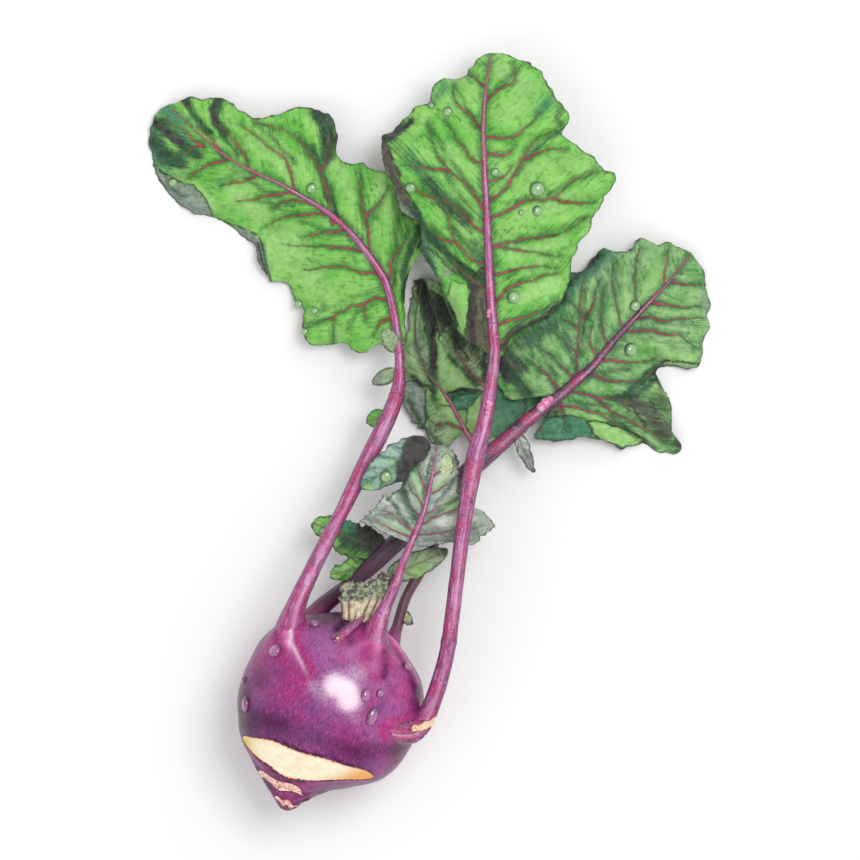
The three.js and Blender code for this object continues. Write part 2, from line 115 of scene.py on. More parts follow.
# ---- the leaves, in millimetres ----
# A leaf's stalk follows its route: x, y, height and radius. Places along it run from 0 at the foot
# to 1 at the tip. "foot" is how far it flares where it meets the bulb, and "rings" are the places of
# scars. Shadow is painted on it as far as "gloom_to", and it greens from the place that "leafy"
# gives on, up to the share after it. Its blade starts at the route's point of number "blade_from".
# "lift" is the height of the blade's edge at its start, middle and end, and "wave" the height,
# count and phase of the edge's waves.
# A colour mark is a spot (x, y, radius and strength), a streak (places, radius and strength) or a
# patch with a crisp outline (places and strength). The light marks are painted light, the dark green,
# teal, wine-dark and near-black marks painted shade, and the grey marks the underside's colour.
# Veins are lines from the midrib outwards.
LEFT_LEAF = {
    "name": "left_leaf",
    "look": "fresh",
    "slot": "leaf_green",
    "blade_grid": (142, 220),
    "leafy": (0.78, 0.55),
    "foot": 12,
    "rings": (0.403,),
    "blade_from": 8,
    "route": [
        (-20, 22, 64, 5), (-21, 38.5, 61, 4.8), (-10, 64.5, 55, 4), (4, 92, 48, 3.6),
        (17, 118.5, 41, 4.1), (28.5, 142, 35, 4.2), (33, 156, 31, 3.3), (33.7, 167, 28, 2.5),
        (33, 177, 26, 2.3), (29.5, 199.5, 22, 2.2), (23, 215.5, 19, 2.1), (4, 238.5, 17, 1.8),
        (-22.5, 256, 15, 1.2), (-53.5, 272, 12, 0.8), (-83, 298, 8, 0.5),
    ],
    "left": {
        "lift": (22, -8, 4),
        "wave": (3.5, 4.5, 0.4),
        "margin": [
            (29.5, 175.5), (22.5, 177.5), (15.5, 173), (10, 175.5), (6, 178.5), (-8, 177), (-14.5, 181.5),
            (-15, 194.5), (-19, 200.5), (-22.5, 208), (-32, 210), (-36.5, 218.5), (-38.5, 226.5),
            (-45.5, 232), (-55, 239), (-62.5, 242.5), (-70, 243.5), (-78, 249), (-85.5, 257.5),
            (-91, 268.5), (-92, 277), (-91, 289.5), (-86.5, 296.5),
        ],
    },
    "right": {
        "lift": (22, 13, 8),
        "wave": (2.5, 5, 2),
        "margin": [
            (37, 180), (36.5, 190.5), (36.5, 204.5), (38.5, 213), (42, 220.5), (46.5, 228), (44.5, 238.5),
            (38, 241), (33, 247.5), (29.5, 262.5), (21.5, 264.5), (15, 269), (7, 269.5), (2, 273.5),
            (2.5, 282.5), (0, 290.5), (-6.5, 295.5), (-14.5, 296.5), (-22.5, 295), (-30, 292.5),
            (-38.5, 292), (-45.5, 295), (-53, 300), (-59, 302.5), (-65, 300.5), (-72, 302), (-79, 299),
        ],
    },
    "shade": [
        ([(-87, 290), (-79, 281), (-68, 272)], 3.5, 0.9),
        ([(-91, 281), (-84, 273), (-76, 269)], 4.5, 0.9), ([(-57, 301), (-59, 292), (-55, 283)], 3, 1),
        ([(-55, 283), (-47, 273)], 2, 0.7), ([(-74, 302), (-70, 293), (-62, 284)], 2.2, 0.9),
        ([(-8, 295), (-2, 286), (-3, 272)], 4.5, 1), ([(-10, 277), (-6, 266), (-1, 250)], 2.6, 0.8),
        ([(-16, 281), (-11, 273)], 3, 0.6), ([(-2, 258), (3, 240)], 2, 0.7),
        ([(44, 236), (39, 226), (36, 215), (36, 200)], 3, 0.9),
        ([(33, 240), (32, 222), (31, 208)], 2.5, 0.6), ([(-38, 288), (-28, 279), (-18, 268)], 2, 0.5),
        ([(-84, 264), (-70, 262), (-56, 259)], 2.2, 0.4), ([(14, 262), (15, 246), (17, 232)], 2, 0.5),
        ([(8, 232), (-8, 236), (-22, 244), (-36, 250)], 2.5, 0.45),
        ([(24, 206), (6, 199), (-8, 193)], 2.4, 0.4), ([(-50, 266), (-36, 256), (-20, 247)], 2.4, 0.5),
        ([(26, 252), (20, 240), (14, 230)], 2.2, 0.4), ([(8, 184), (12, 194), (24, 200)], 2.4, 0.45),
        ([(-14, 188), (0, 190)], 1.8, 0.4),
    ],
    "glow": [
        (-26, 226, 12, 0.9), (-12, 212, 10, 0.7), ([(-50, 255), (-38, 243)], 6, 0.7),
        ([(-20, 262), (-30, 274), (-42, 280)], 5, 0.5), ([(10, 250), (6, 262), (0, 268)], 4, 0.6),
        ([(-80, 265), (-68, 256), (-60, 247)], 2.2, 1), ([(24, 262), (26, 250), (30, 240)], 4, 0.6),
        (-2, 205, 9, 0.5), (4, 184, 6, 0.5), ([(-33, 226), (-34, 216), (-30, 209)], 3.5, 1),
        ([(-44, 235), (-38, 231)], 2, 0.9), ([(-62, 292), (-50, 287), (-42, 284)], 3, 0.4),
        ([(16, 222), (18, 236)], 4, 0.4), ([(-66, 283), (-56, 277)], 2, 0.5),
    ],
    "ash": [
        ([(-97, 274), (-86, 263.5), (-77, 259.5), (-70, 257.5), (-66, 253.5), (-61, 243), (-62, 232),
         (-100, 240)], 1),
        ([(-55, 239), (-46, 235.5), (-37, 232), (-35.5, 226), (-33.5, 218.5), (-31, 209), (-45, 205),
         (-60, 228)], 0.9),
    ],
    "soot": [
        ([(-58, 302), (-61, 296), (-58, 288)], 1.8, 0.9), ([(-76, 303), (-73, 297)], 1.8, 0.8),
        ([(-91, 292), (-84, 283), (-76, 279)], 1.8, 0.9), ([(-1, 293), (3, 284), (2, 276)], 2.2, 0.8),
        ([(-6, 289), (-3, 280)], 2, 0.5), ([(47, 232), (43, 226)], 1.4, 0.7),
        ([(38, 212), (36, 200)], 1.4, 0.6), ([(-38, 229), (-35, 220), (-33, 212)], 1, 0.8),
        ([(-94, 266), (-86, 258), (-74, 252)], 1.4, 0.5),
    ],
    "teal": [
        ([(-92, 288), (-90, 276), (-84, 270)], 5.5, 1), ([(-6, 292), (-1, 280)], 4, 0.7),
        ([(-86, 298), (-78, 290)], 4, 0.7), ([(-76, 284), (-70, 276), (-80, 270)], 4, 0.6),
        ([(-62, 245), (-72, 247), (-84, 254)], 2.4, 0.7), ([(-36, 228), (-33, 214)], 2, 0.9),
    ],
    "veins": [
        [(29.5, 198.5), (22.5, 201), (15, 197.5), (6.5, 195), (1.5, 192), (0.5, 178)],
        [(15, 197.5), (17, 189.5)], [(1.5, 192), (-12, 186)],
        [(23.5, 213), (14, 214), (3.5, 216.5), (-14.5, 215)],
        [(14.5, 224.5), (4, 226.5), (-10, 226.5), (-26, 228)],
        [(-0.5, 242.5), (-10, 242.5), (-23.5, 241.5), (-34, 236.5)],
        [(-19.5, 254), (-35, 251.5), (-48, 249.5)], [(-37, 263), (-46, 259.5), (-57, 257)],
        [(28.5, 204.5), (29.5, 218.5), (35, 227.5), (38, 235)],
        [(24, 213.5), (19.5, 219.5), (18.5, 231), (16, 244.5), (14, 256), (14, 265.5)],
        [(3.5, 238.5), (-0.5, 239), (-1.5, 248.5), (-4, 259), (-6, 264.5), (-11, 272), (-16.5, 280),
         (-24.5, 285), (-38.5, 289)], [(-6, 264.5), (-1.5, 273), (-2, 284.5)],
        [(17, 242), (24, 249.5), (28, 257)],
        [(-16, 251.5), (-19.5, 254.5), (-20.5, 261.5), (-25, 271.5), (-35, 279), (-45.5, 287.5)],
        [(-39.5, 264), (-42.5, 265.5), (-44, 272), (-50, 281), (-58, 288.5)],
        [(-55, 272), (-60, 279.5), (-68, 287)],
        [(-64.5, 277), (-66.5, 278), (-73, 283.5), (-83.5, 290.5)],
        [(-66, 277.5), (-76, 273.5), (-87, 269.5)], [(-52, 271), (-63.5, 267), (-75, 260.5)],
        [(29.5, 190.5), (24, 188.5), (20, 181.5)], [(7.5, 234.5), (-3.5, 233.5), (-16, 231.5)],
        [(-10, 248.5), (-21, 249.5), (-31, 246)],
    ],
}

TOP_LEAF = {
    "name": "top_leaf",
    "look": "fresh",
    "slot": "leaf_green",
    "blade_grid": (142, 230),
    "leafy": (0.78, 0.55),
    "foot": 5,
    "rings": (0.282,),
    "tears": [([(42, -13.8), (46, -12.6), (49.5, -11.4), (52.5, -10.4)], 1.9, 1)],
    "blade_from": 9,
    "route": [
        (26.5, -13.5, 77, 2.4), (33.5, -16, 72, 4.6), (41, -14.5, 64.5, 5.6), (48.5, -5, 61, 4.6),
        (57, 22, 60, 3.8), (61.5, 54.5, 60, 3.7), (66, 89.5, 58, 3.9), (71.5, 121, 55, 4.6),
        (76.5, 140, 52, 3.9), (81, 169.5, 49, 2.9), (80.5, 184.5, 48, 2.7), (79, 207, 47, 2.5),
        (77.5, 239, 44, 2.3), (76, 269.5, 40, 1.9), (76, 295, 35, 1.5), (79.5, 323.5, 28, 0.7),
    ],
    "left": {
        "lift": (40, 34, 26),
        "wave": (3, 5, 1),
        "margin": [
            (75.5, 175), (65, 181.5), (60, 195), (55.5, 203.5), (50.5, 214.5), (45, 223), (43.5, 238.5),
            (37, 242.5), (32.5, 248), (30.5, 257), (26, 265.5), (24.5, 281), (30, 284), (37, 292),
            (43, 297), (48, 298.5), (49.5, 305.5), (55.5, 310.5), (62.5, 310.5), (68.5, 314.5),
            (71.5, 319.5), (76.5, 323),
        ],
    },
    "right": {
        "lift": (42, 34, 26),
        "wave": (3.5, 5, 3),
        "margin": [
            (86.5, 173), (89.5, 180.5), (96.5, 185.5), (104, 189), (112.5, 196), (117, 205.5),
            (119.5, 213), (121, 220.5), (123, 227), (129, 235), (131.5, 242.5), (135.5, 249.5),
            (140, 255.5), (141.5, 262.5), (135.5, 265.5), (131, 271), (122, 277.5), (116, 283.5),
            (119.5, 290.5), (116, 296), (110.5, 303), (107.5, 310), (102.5, 316), (94, 320.5), (87, 323),
            (83, 323.5),
        ],
    },
    "shade": [
        ([(24, 280), (30, 284), (36, 287)], 3.5, 1),
        ([(30, 279), (42, 268), (52, 254), (60, 244)], 5, 0.5),
        ([(48, 258), (56, 249), (66, 240)], 4.5, 0.85), ([(58, 262), (64, 250), (74, 240)], 3.5, 0.5),
        ([(40, 246), (48, 232), (58, 222), (70, 212), (76, 208)], 2.6, 1),
        ([(44, 240), (54, 226), (66, 214)], 6, 0.5), ([(44, 228), (48, 218), (54, 206)], 3.5, 0.7),
        ([(70, 228), (76, 218)], 3, 0.7), ([(60, 236), (70, 224), (76, 212)], 2, 0.6),
        ([(88, 181), (98, 186), (108, 190), (114, 197)], 3.2, 0.9),
        ([(90, 186), (100, 192), (112, 196)], 4, 0.6),
        ([(116, 284), (108, 281), (98, 272), (92, 262)], 2, 0.6),
        ([(132, 265), (120, 259), (108, 252)], 1.8, 0.5), ([(124, 240), (110, 233), (92, 229)], 2, 0.5),
        ([(112, 213), (98, 211), (88, 205)], 1.8, 0.4), ([(78, 250), (90, 247), (100, 251)], 2, 0.4),
        ([(96, 318), (86, 309), (78, 302)], 1.8, 0.5), ([(62, 306), (68, 294), (74, 286)], 1.8, 0.5),
        ([(48, 288), (58, 270), (72, 252)], 2.2, 0.5), ([(118, 300), (112, 290), (116, 284)], 2.6, 0.6),
        ([(84, 208), (92, 214)], 1.6, 0.5),
    ],
    "glow": [
        ([(59.5, 209), (67.5, 207), (68.5, 196), (66, 181), (61.5, 190), (58, 200)], 0.6),
        ([(86, 262), (98, 264), (106, 268)], 5, 0.5), ([(96, 242), (110, 246), (124, 252)], 5, 0.6),
        ([(90, 222), (104, 226), (116, 230)], 4, 0.7), ([(92, 200), (104, 205), (112, 208)], 4.5, 0.8),
        ([(92, 216), (104, 218)], 3, 0.6), ([(84, 290), (96, 298), (104, 306)], 6, 0.4),
        (84, 315, 6, 0.7), ([(64, 262), (58, 276)], 4, 0.5), ([(62, 244), (50, 250)], 2.5, 0.5),
        ([(66, 300), (72, 306)], 4, 0.4), ([(70, 230), (64, 236), (62, 242)], 2, 0.8),
        ([(114, 272), (122, 268)], 4, 0.5),
    ],
    "ash": [
        ([(22, 280), (27, 276), (31, 268), (35, 257), (39, 249.5), (44, 243), (36, 238), (20, 262)], 0.8),
        (60, 310, 3, 0.5), (70, 312, 3, 0.5), ([(78, 318), (90, 314), (98, 306)], 7, 0.32),
        ([(40, 232), (50, 222), (60, 214)], 5, 0.4), ([(56, 212), (64, 216)], 3, 0.6),
    ],
    "wine": [
        ([(68.5, 208), (74, 215), (80, 214), (80, 170), (70, 170), (66.5, 181), (69, 196)], 1.1),
        ([(25, 276), (30, 262), (37, 248)], 3.6, 0.9), ([(56, 226), (62, 216), (68, 210)], 2, 0.6),
    ],
    "soot": [
        ([(24, 282), (28, 280), (34, 284), (40, 289)], 2.2, 0.9), ([(28, 274), (34, 262)], 1.8, 0.6),
        ([(52, 248), (62, 240), (70, 234)], 3, 0.45), ([(48, 226), (58, 216), (68, 209)], 1.4, 0.6),
        ([(86, 176), (92, 183), (104, 188), (112, 195)], 2.6, 1.1), ([(141, 264), (136, 264)], 1.6, 0.6),
        ([(70, 176), (70, 192), (71, 206)], 2.2, 0.9), ([(76, 180), (75, 200)], 1.4, 0.6),
        ([(104, 316), (110, 304), (116, 296)], 1, 0.5),
    ],
    "teal": [
        ([(38, 272), (50, 258), (60, 246)], 5, 0.4), ([(42, 240), (46, 226), (50, 214)], 3, 0.7),
        ([(104, 294), (110, 300)], 5, 0.5), ([(50, 298), (56, 306)], 4, 0.5),
    ],
    "veins": [
        [(75.5, 285.5), (73, 287), (67.5, 293), (61, 301.5), (61, 307.5)],
        [(76, 269.5), (71.5, 269), (64, 277.5), (56.5, 289.5)],
        [(77.5, 242), (74, 247), (67.5, 257), (59, 264), (51, 275), (48.5, 287)],
        [(59, 264), (49, 265.5), (36.5, 267)],
        [(78.5, 218.5), (71, 219.5), (61.5, 229), (58, 242), (56.5, 251)],
        [(61.5, 229), (54, 229.5), (49, 233.5)],
        [(78, 232), (69, 238.5), (60, 247), (44, 253.5), (36, 256.5)],
        [(79, 204.5), (73, 207.5), (64, 215.5), (58, 220.5)],
        [(76, 297), (84.5, 306), (90.5, 309), (91, 318.5)],
        [(75.5, 281), (84.5, 280.5), (94, 283), (104, 293.5)], [(76.5, 272.5), (87, 272), (90.5, 275.5)],
        [(77.5, 248), (87, 255.5), (91.5, 263), (96.5, 272.5), (104, 281), (113, 283.5)],
        [(96.5, 270), (106, 274.5), (117.5, 275)],
        [(78, 239), (88, 244.5), (96.5, 249), (110, 250), (120, 258.5), (133, 263.5)],
        [(110, 250), (121.5, 248), (131, 248.5)], [(78.5, 226), (91.5, 224.5), (101.5, 223), (115, 221)],
        [(78.5, 224.5), (84.5, 227.5), (104, 231), (116, 233), (128.5, 241.5)],
        [(80, 197.5), (88, 204.5), (96.5, 208.5), (107.5, 211.5), (114, 212.5)],
        [(80.5, 186), (89.5, 189), (97.5, 191), (104.5, 194.5)], [(76.5, 307), (71, 310.5), (67, 313)],
        [(79, 212), (89, 213.5), (101.5, 216.5), (112, 215.5)], [(80.5, 177), (86.5, 179.5), (92, 184.5)],
        [(77, 258.5), (86.5, 261.5), (90, 267)],
    ],
}

RIGHT_LEAF = {
    "name": "right_leaf",
    "look": "muted",
    "slot": "leaf_green",
    "blade_grid": (142, 200),
    "leafy": (0.78, 0.55),
    "foot": 8,
    "gloom_to": 0.33,
    "blade_from": 8,
    "route": [
        (-16, 33, 26, 4), (-8, 44, 28, 4), (10, 58, 32, 4), (29, 75.5, 32, 4.6), (49, 94.5, 31, 4.9),
        (69, 114.5, 28, 4.8), (84, 127, 25, 4), (99, 140.5, 22, 3.5), (111.5, 150, 19.5, 3),
        (120.5, 157.5, 17.5, 2.6), (130.5, 166.5, 15.5, 2.3), (142, 180, 13.5, 2),
        (158.5, 198, 11.5, 1.6), (170, 210, 10, 1.2), (180.5, 223.5, 8, 0.7),
    ],
    "left": {
        "lift": (15, 14, 6),
        "wave": (3, 4, 0),
        "margin": [
            (105.5, 151.5), (90, 150), (83, 157), (81, 168), (87, 180), (98, 189), (109, 196), (116, 203),
            (119, 212.5), (124.5, 214.5), (129.5, 219.5), (135, 225.5), (145, 224), (150.5, 226.5),
            (155.5, 231), (163.5, 227.5), (168.5, 229.5), (173.5, 227), (178, 225),
        ],
    },
    "right": {
        "lift": (14, -6, 3),
        "wave": (3, 4, 2.2),
        "margin": [
            (113, 144), (101, 131), (115.5, 129), (125, 131), (133.5, 130), (145, 125.5), (150.5, 126),
            (157, 127.5), (163.5, 123.5), (173.5, 122), (175.5, 127.5), (170.5, 132), (171, 146),
            (165, 157), (162.5, 162.5), (166, 167), (182, 165), (186.5, 173), (186.5, 179.5),
            (189.5, 186.5), (188.5, 192.5), (190.5, 198), (188, 205.5), (187, 214), (183, 220.5),
        ],
    },
    "shade": [
        ([(80, 182), (94, 188), (106, 194), (114, 202)], 5, 1),
        ([(84, 174), (98, 180), (110, 188)], 5, 0.6), ([(82, 168), (92, 160), (98, 152)], 4.5, 1),
        ([(86, 176), (96, 166)], 3.5, 0.8), ([(148, 152), (158, 162), (163, 166)], 3, 0.9),
        ([(166, 168), (162, 160), (152, 152), (140, 150)], 2.4, 0.8),
        ([(150, 150), (158, 142), (166, 132), (174, 126)], 6, 0.5),
        ([(158, 152), (166, 144), (171, 134)], 6, 0.5), ([(172, 146), (170, 152), (164, 160)], 2, 1),
        ([(140, 142), (150, 133), (162, 126)], 2.2, 0.7),
        ([(118, 208), (126, 216), (134, 224)], 3.5, 0.8),
        ([(126, 204), (127, 190), (124, 172)], 2.2, 0.5), ([(136, 208), (134, 190), (132, 176)], 2, 0.45),
        ([(112, 154), (124, 148), (140, 147)], 2, 0.5), ([(122, 162), (136, 163), (150, 166)], 2.4, 0.6),
        ([(106, 172), (112, 162)], 2.4, 0.5), ([(116, 184), (120, 170)], 2.4, 0.5),
        ([(184, 187), (168, 187), (156, 190)], 1.6, 0.4),
        ([(186, 180), (170, 178), (156, 180)], 1.6, 0.4),
        ([(184, 222), (189, 208), (191, 196)], 1.6, 0.6), ([(94, 148), (104, 141), (112, 143)], 3, 0.8),
    ],
    "glow": [
        ([(129, 138.5), (138, 137.5), (148, 133.5), (157, 129.5), (155.5, 126.5), (145, 126),
         (136.5, 129.5), (131, 132.5)], 1),
        ([(163, 164.5), (168, 169), (176, 168.5), (184, 167), (188, 162), (160, 160)], 1.2),
        ([(144, 192), (156, 204), (166, 214)], 6, 0.5), ([(160, 178), (172, 180), (182, 180)], 3, 0.5),
        ([(164, 193), (176, 193.5), (186, 193.5)], 2, 0.5), ([(128, 196), (120, 204)], 4, 0.5),
        ([(130, 170), (131, 184)], 2.4, 0.5), ([(110, 176), (104, 184)], 4, 0.5), (96, 157, 5, 0.5),
        ([(112, 148), (126, 143), (136, 139)], 2, 0.6), ([(146, 168), (160, 172)], 3, 0.4),
        ([(168, 172), (180, 170)], 3, 0.7), ([(158, 150), (164, 158)], 2, 0.5),
    ],
    "ash": [
        ([(163, 164.5), (168, 169), (176, 168.5), (184, 167), (188, 162), (160, 160)], 0.45),
        ([(132, 212), (140, 222), (150, 226)], 4, 0.4), ([(150, 150), (158, 142), (166, 134)], 3, 0.7),
        ([(138, 206), (146, 214)], 6, 0.35), ([(186, 204), (189, 192)], 3, 0.5), (156, 186, 8, 0.3),
    ],
    "soot": [
        ([(82, 180), (94, 187), (106, 193), (116, 202)], 2, 0.8),
        ([(120, 213), (128, 216), (134, 223)], 1.6, 0.7),
        ([(150, 150), (153, 142), (158, 136)], 1.2, 0.7),
        ([(172, 148), (172, 138), (174, 126)], 1.6, 0.7),
        ([(162, 163), (165, 158), (170, 150)], 1.4, 0.8), ([(160, 148), (166, 138)], 2.4, 0.4),
        ([(147, 225), (154, 230)], 1.4, 0.6), ([(82, 178), (84, 168), (88, 160)], 2.6, 0.9),
    ],
    "teal": [
        ([(99, 135), (106, 140.5), (118, 141), (127, 140), (130, 134), (128, 127), (100, 126)], 1),
        ([(112, 196), (118, 204), (124, 212)], 6, 0.7), ([(130, 214), (138, 224)], 4, 0.8),
        ([(100, 180), (110, 188)], 5, 0.6), ([(134, 196), (138, 210)], 5, 0.4),
        ([(120, 176), (116, 188)], 4, 0.4),
    ],
    "wine": [
        ([(84, 172), (90, 166)], 6, 1), ([(148, 150), (158, 144), (168, 132)], 5, 0.75),
        ([(164, 152), (170, 142)], 4, 0.5),
    ],
    "veins": [
        [(122, 159), (122.5, 166.5), (124, 185.5), (125.5, 206.5), (129, 214.5)],
        [(120.5, 158), (119.5, 162.5), (103, 177)], [(122.5, 173), (110.5, 184.5)],
        [(124, 184.5), (114.5, 191.5)], [(124.5, 194), (118.5, 200.5)],
        [(126.5, 190.5), (131.5, 199.5), (134, 209.5)],
        [(114, 152.5), (109.5, 160), (104, 165), (98, 169.5)],
        [(135, 169.5), (133, 171.5), (129.5, 178), (130, 187)],
        [(140, 177), (138.5, 178), (136, 182.5), (135, 192.5), (137, 207)],
        [(148.5, 186.5), (145.5, 185.5), (144, 193), (141, 204), (141, 218.5)],
        [(157, 196), (154.5, 196.5), (152.5, 201.5), (152, 214.5), (154.5, 227)],
        [(168.5, 208), (167, 207), (167, 214.5), (169, 224.5)],
        [(160, 198.5), (168.5, 197.5), (175, 196), (186, 196.5)],
        [(152.5, 190.5), (160.5, 191.5), (165, 189.5), (175, 190.5), (186.5, 190.5)],
        [(146, 183.5), (158.5, 184.5), (167, 182.5), (175, 182), (184, 175.5)],
        [(136, 169.5), (143.5, 169), (153.5, 168.5), (162, 170.5)],
        [(129, 163), (138, 159.5), (145.5, 159), (154.5, 159.5), (162, 164.5)],
        [(120, 153.5), (127, 152.5), (132, 151), (140, 150), (151.5, 148.5), (164, 147)],
        [(111.5, 146.5), (121.5, 146), (129, 144), (137, 141.5), (146.5, 134.5)],
        [(132, 151), (139, 144.5), (154, 137), (166.5, 129.5)],
        [(114, 148.5), (116.5, 139.5), (118, 132.5)], [(170.5, 209.5), (178, 207.5), (185, 207.5)],
        [(106.5, 143.5), (104, 137), (106.5, 131.5)],
    ],
}

BACK_LEAF = {
    "name": "back_leaf",
    "look": "dark",
    "slot": "leaf_dark",
    "blade_grid": (110, 140),
    "leafy": (0.62, 0.95),
    "foot": 7,
    "gloom_to": 0.4,
    "blade_from": 9,
    "route": [
        (24, 20, 36, 3), (30.5, 29.5, 33, 2.8), (36.5, 49.5, 28, 2.5), (44.5, 64, 23, 2.5),
        (52, 79.5, 18.5, 2.5), (60, 102, 14, 2.4), (68, 116, 12, 2.1), (70.5, 122, 11, 1.9),
        (70.5, 127.5, 10, 1.6), (66.5, 134.5, 9, 1.3), (60.5, 146, 8, 1.1), (55, 154.5, 7, 0.9),
        (49, 161.5, 6.5, 0.8), (44, 172, 6, 0.7), (41.5, 187, 5, 0.6), (45, 210.5, 4, 0.5),
    ],
    "left": {
        "lift": (8, 2, 4),
        "wave": (1.5, 3, 0),
        "margin": [
            (62, 130), (55, 124), (47, 132.5), (40, 139.5), (35.5, 150.5), (35, 163.5), (34, 174.5),
            (38, 185.5), (39, 199.5), (41, 210),
        ],
    },
    "right": {
        "lift": (8, 1, 4),
        "wave": (1.5, 3, 2),
        "margin": [
            (77, 128), (90, 128), (98, 134), (104, 142), (105, 152), (104, 162), (101, 173.5),
            (91.5, 182), (80, 189.5), (69, 198), (57, 206.5), (49, 211),
        ],
    },
    "shade": [
        ([(42, 211), (46, 209), (50, 198), (52, 186), (48, 180), (45, 196)], 0.95),
        ([(54, 200), (60, 188), (64, 178)], 3.5, 0.9), ([(60, 196), (68, 184), (72, 176)], 3, 0.8),
        ([(49, 178), (50.5, 160), (52, 150)], 2.4, 0.9), ([(40, 162), (44, 158), (50, 156)], 2, 0.9),
        ([(53, 196), (57, 190), (63, 186)], 3, 0.9), ([(59, 172), (66, 164), (72, 158)], 2, 0.7),
        ([(46, 146), (48, 138), (52, 128)], 1.6, 0.6), ([(66, 190), (76, 180), (80, 170)], 4, 0.8),
        ([(84, 172), (92, 164), (100, 156)], 4, 0.7), ([(58, 150), (66, 154), (76, 154)], 2, 0.7),
        ([(76, 168), (80, 150), (76, 136)], 2.6, 0.9), ([(38, 150), (44, 138), (54, 128)], 2, 0.7),
    ],
    "glow": [
        ([(49, 192), (53, 178), (52, 168), (54, 158), (59, 154), (67, 153), (72, 153.5), (71, 159),
         (64, 165), (57, 172), (53, 184)], 0.5), ([(52, 156), (60, 144), (68, 132)], 5, 0.8),
        ([(42, 196), (40, 182)], 3, 0.7), (90, 140, 4, 0.4),
        ([(68, 148), (74, 152), (76, 142), (72, 130), (67, 136)], 0.6), ([(98, 160), (92, 168)], 4, 0.5),
    ],
    "ash": [
        ([(36, 158.5), (42, 159.5), (46.5, 154), (46.5, 143), (45, 134), (40, 132), (35, 140), (34, 150)],
         1), ([(39, 205), (41, 190), (44, 178)], 3, 0.5), ([(54, 196), (62, 184), (66, 176)], 2, 0.6),
    ],
    "wine": [
        ([(46, 206), (54, 202), (60, 190), (54, 184), (50, 192)], 1), ([(66, 180), (76, 166)], 4, 0.6),
        ([(86, 172), (90, 166)], 4, 1), ([(72, 192), (80, 180)], 4, 0.8),
    ],
    "soot": [
        ([(43, 211), (46, 203), (50, 192), (51, 180), (51, 166)], 2, 1),
        ([(53, 198), (58, 190)], 2.4, 0.8), ([(64, 188), (62, 180), (68, 170)], 1.2, 0.8),
        ([(40, 161), (46, 157), (50, 154)], 1.2, 0.7), ([(76, 172), (78, 156), (78, 140)], 1.6, 0.7),
        ([(86, 172), (92, 166)], 2, 0.7), ([(57, 153), (66, 155), (75, 154)], 1, 0.8),
    ],
    "teal": [
        ([(82, 156), (89, 158), (96, 155), (97, 146), (92, 139), (84, 130), (79, 132), (80, 146)], 0.95),
        ([(58, 152.5), (66, 154), (73, 152.5), (68, 146), (62, 144)], 0.9),
        ([(54, 170), (58, 160)], 2.5, 0.25), ([(94, 148), (104, 150)], 5, 0.6),
        ([(92, 132), (102, 140)], 4, 0.6),
    ],
    "veins": [
        [(79, 150), (77.5, 156), (72, 160), (66.5, 167), (62.5, 175), (61, 181)],
        [(66.5, 134.5), (58, 137.5), (52, 137)], [(60.5, 146), (54, 147)], [(77.5, 153.5), (86.5, 159.5)],
    ],
}

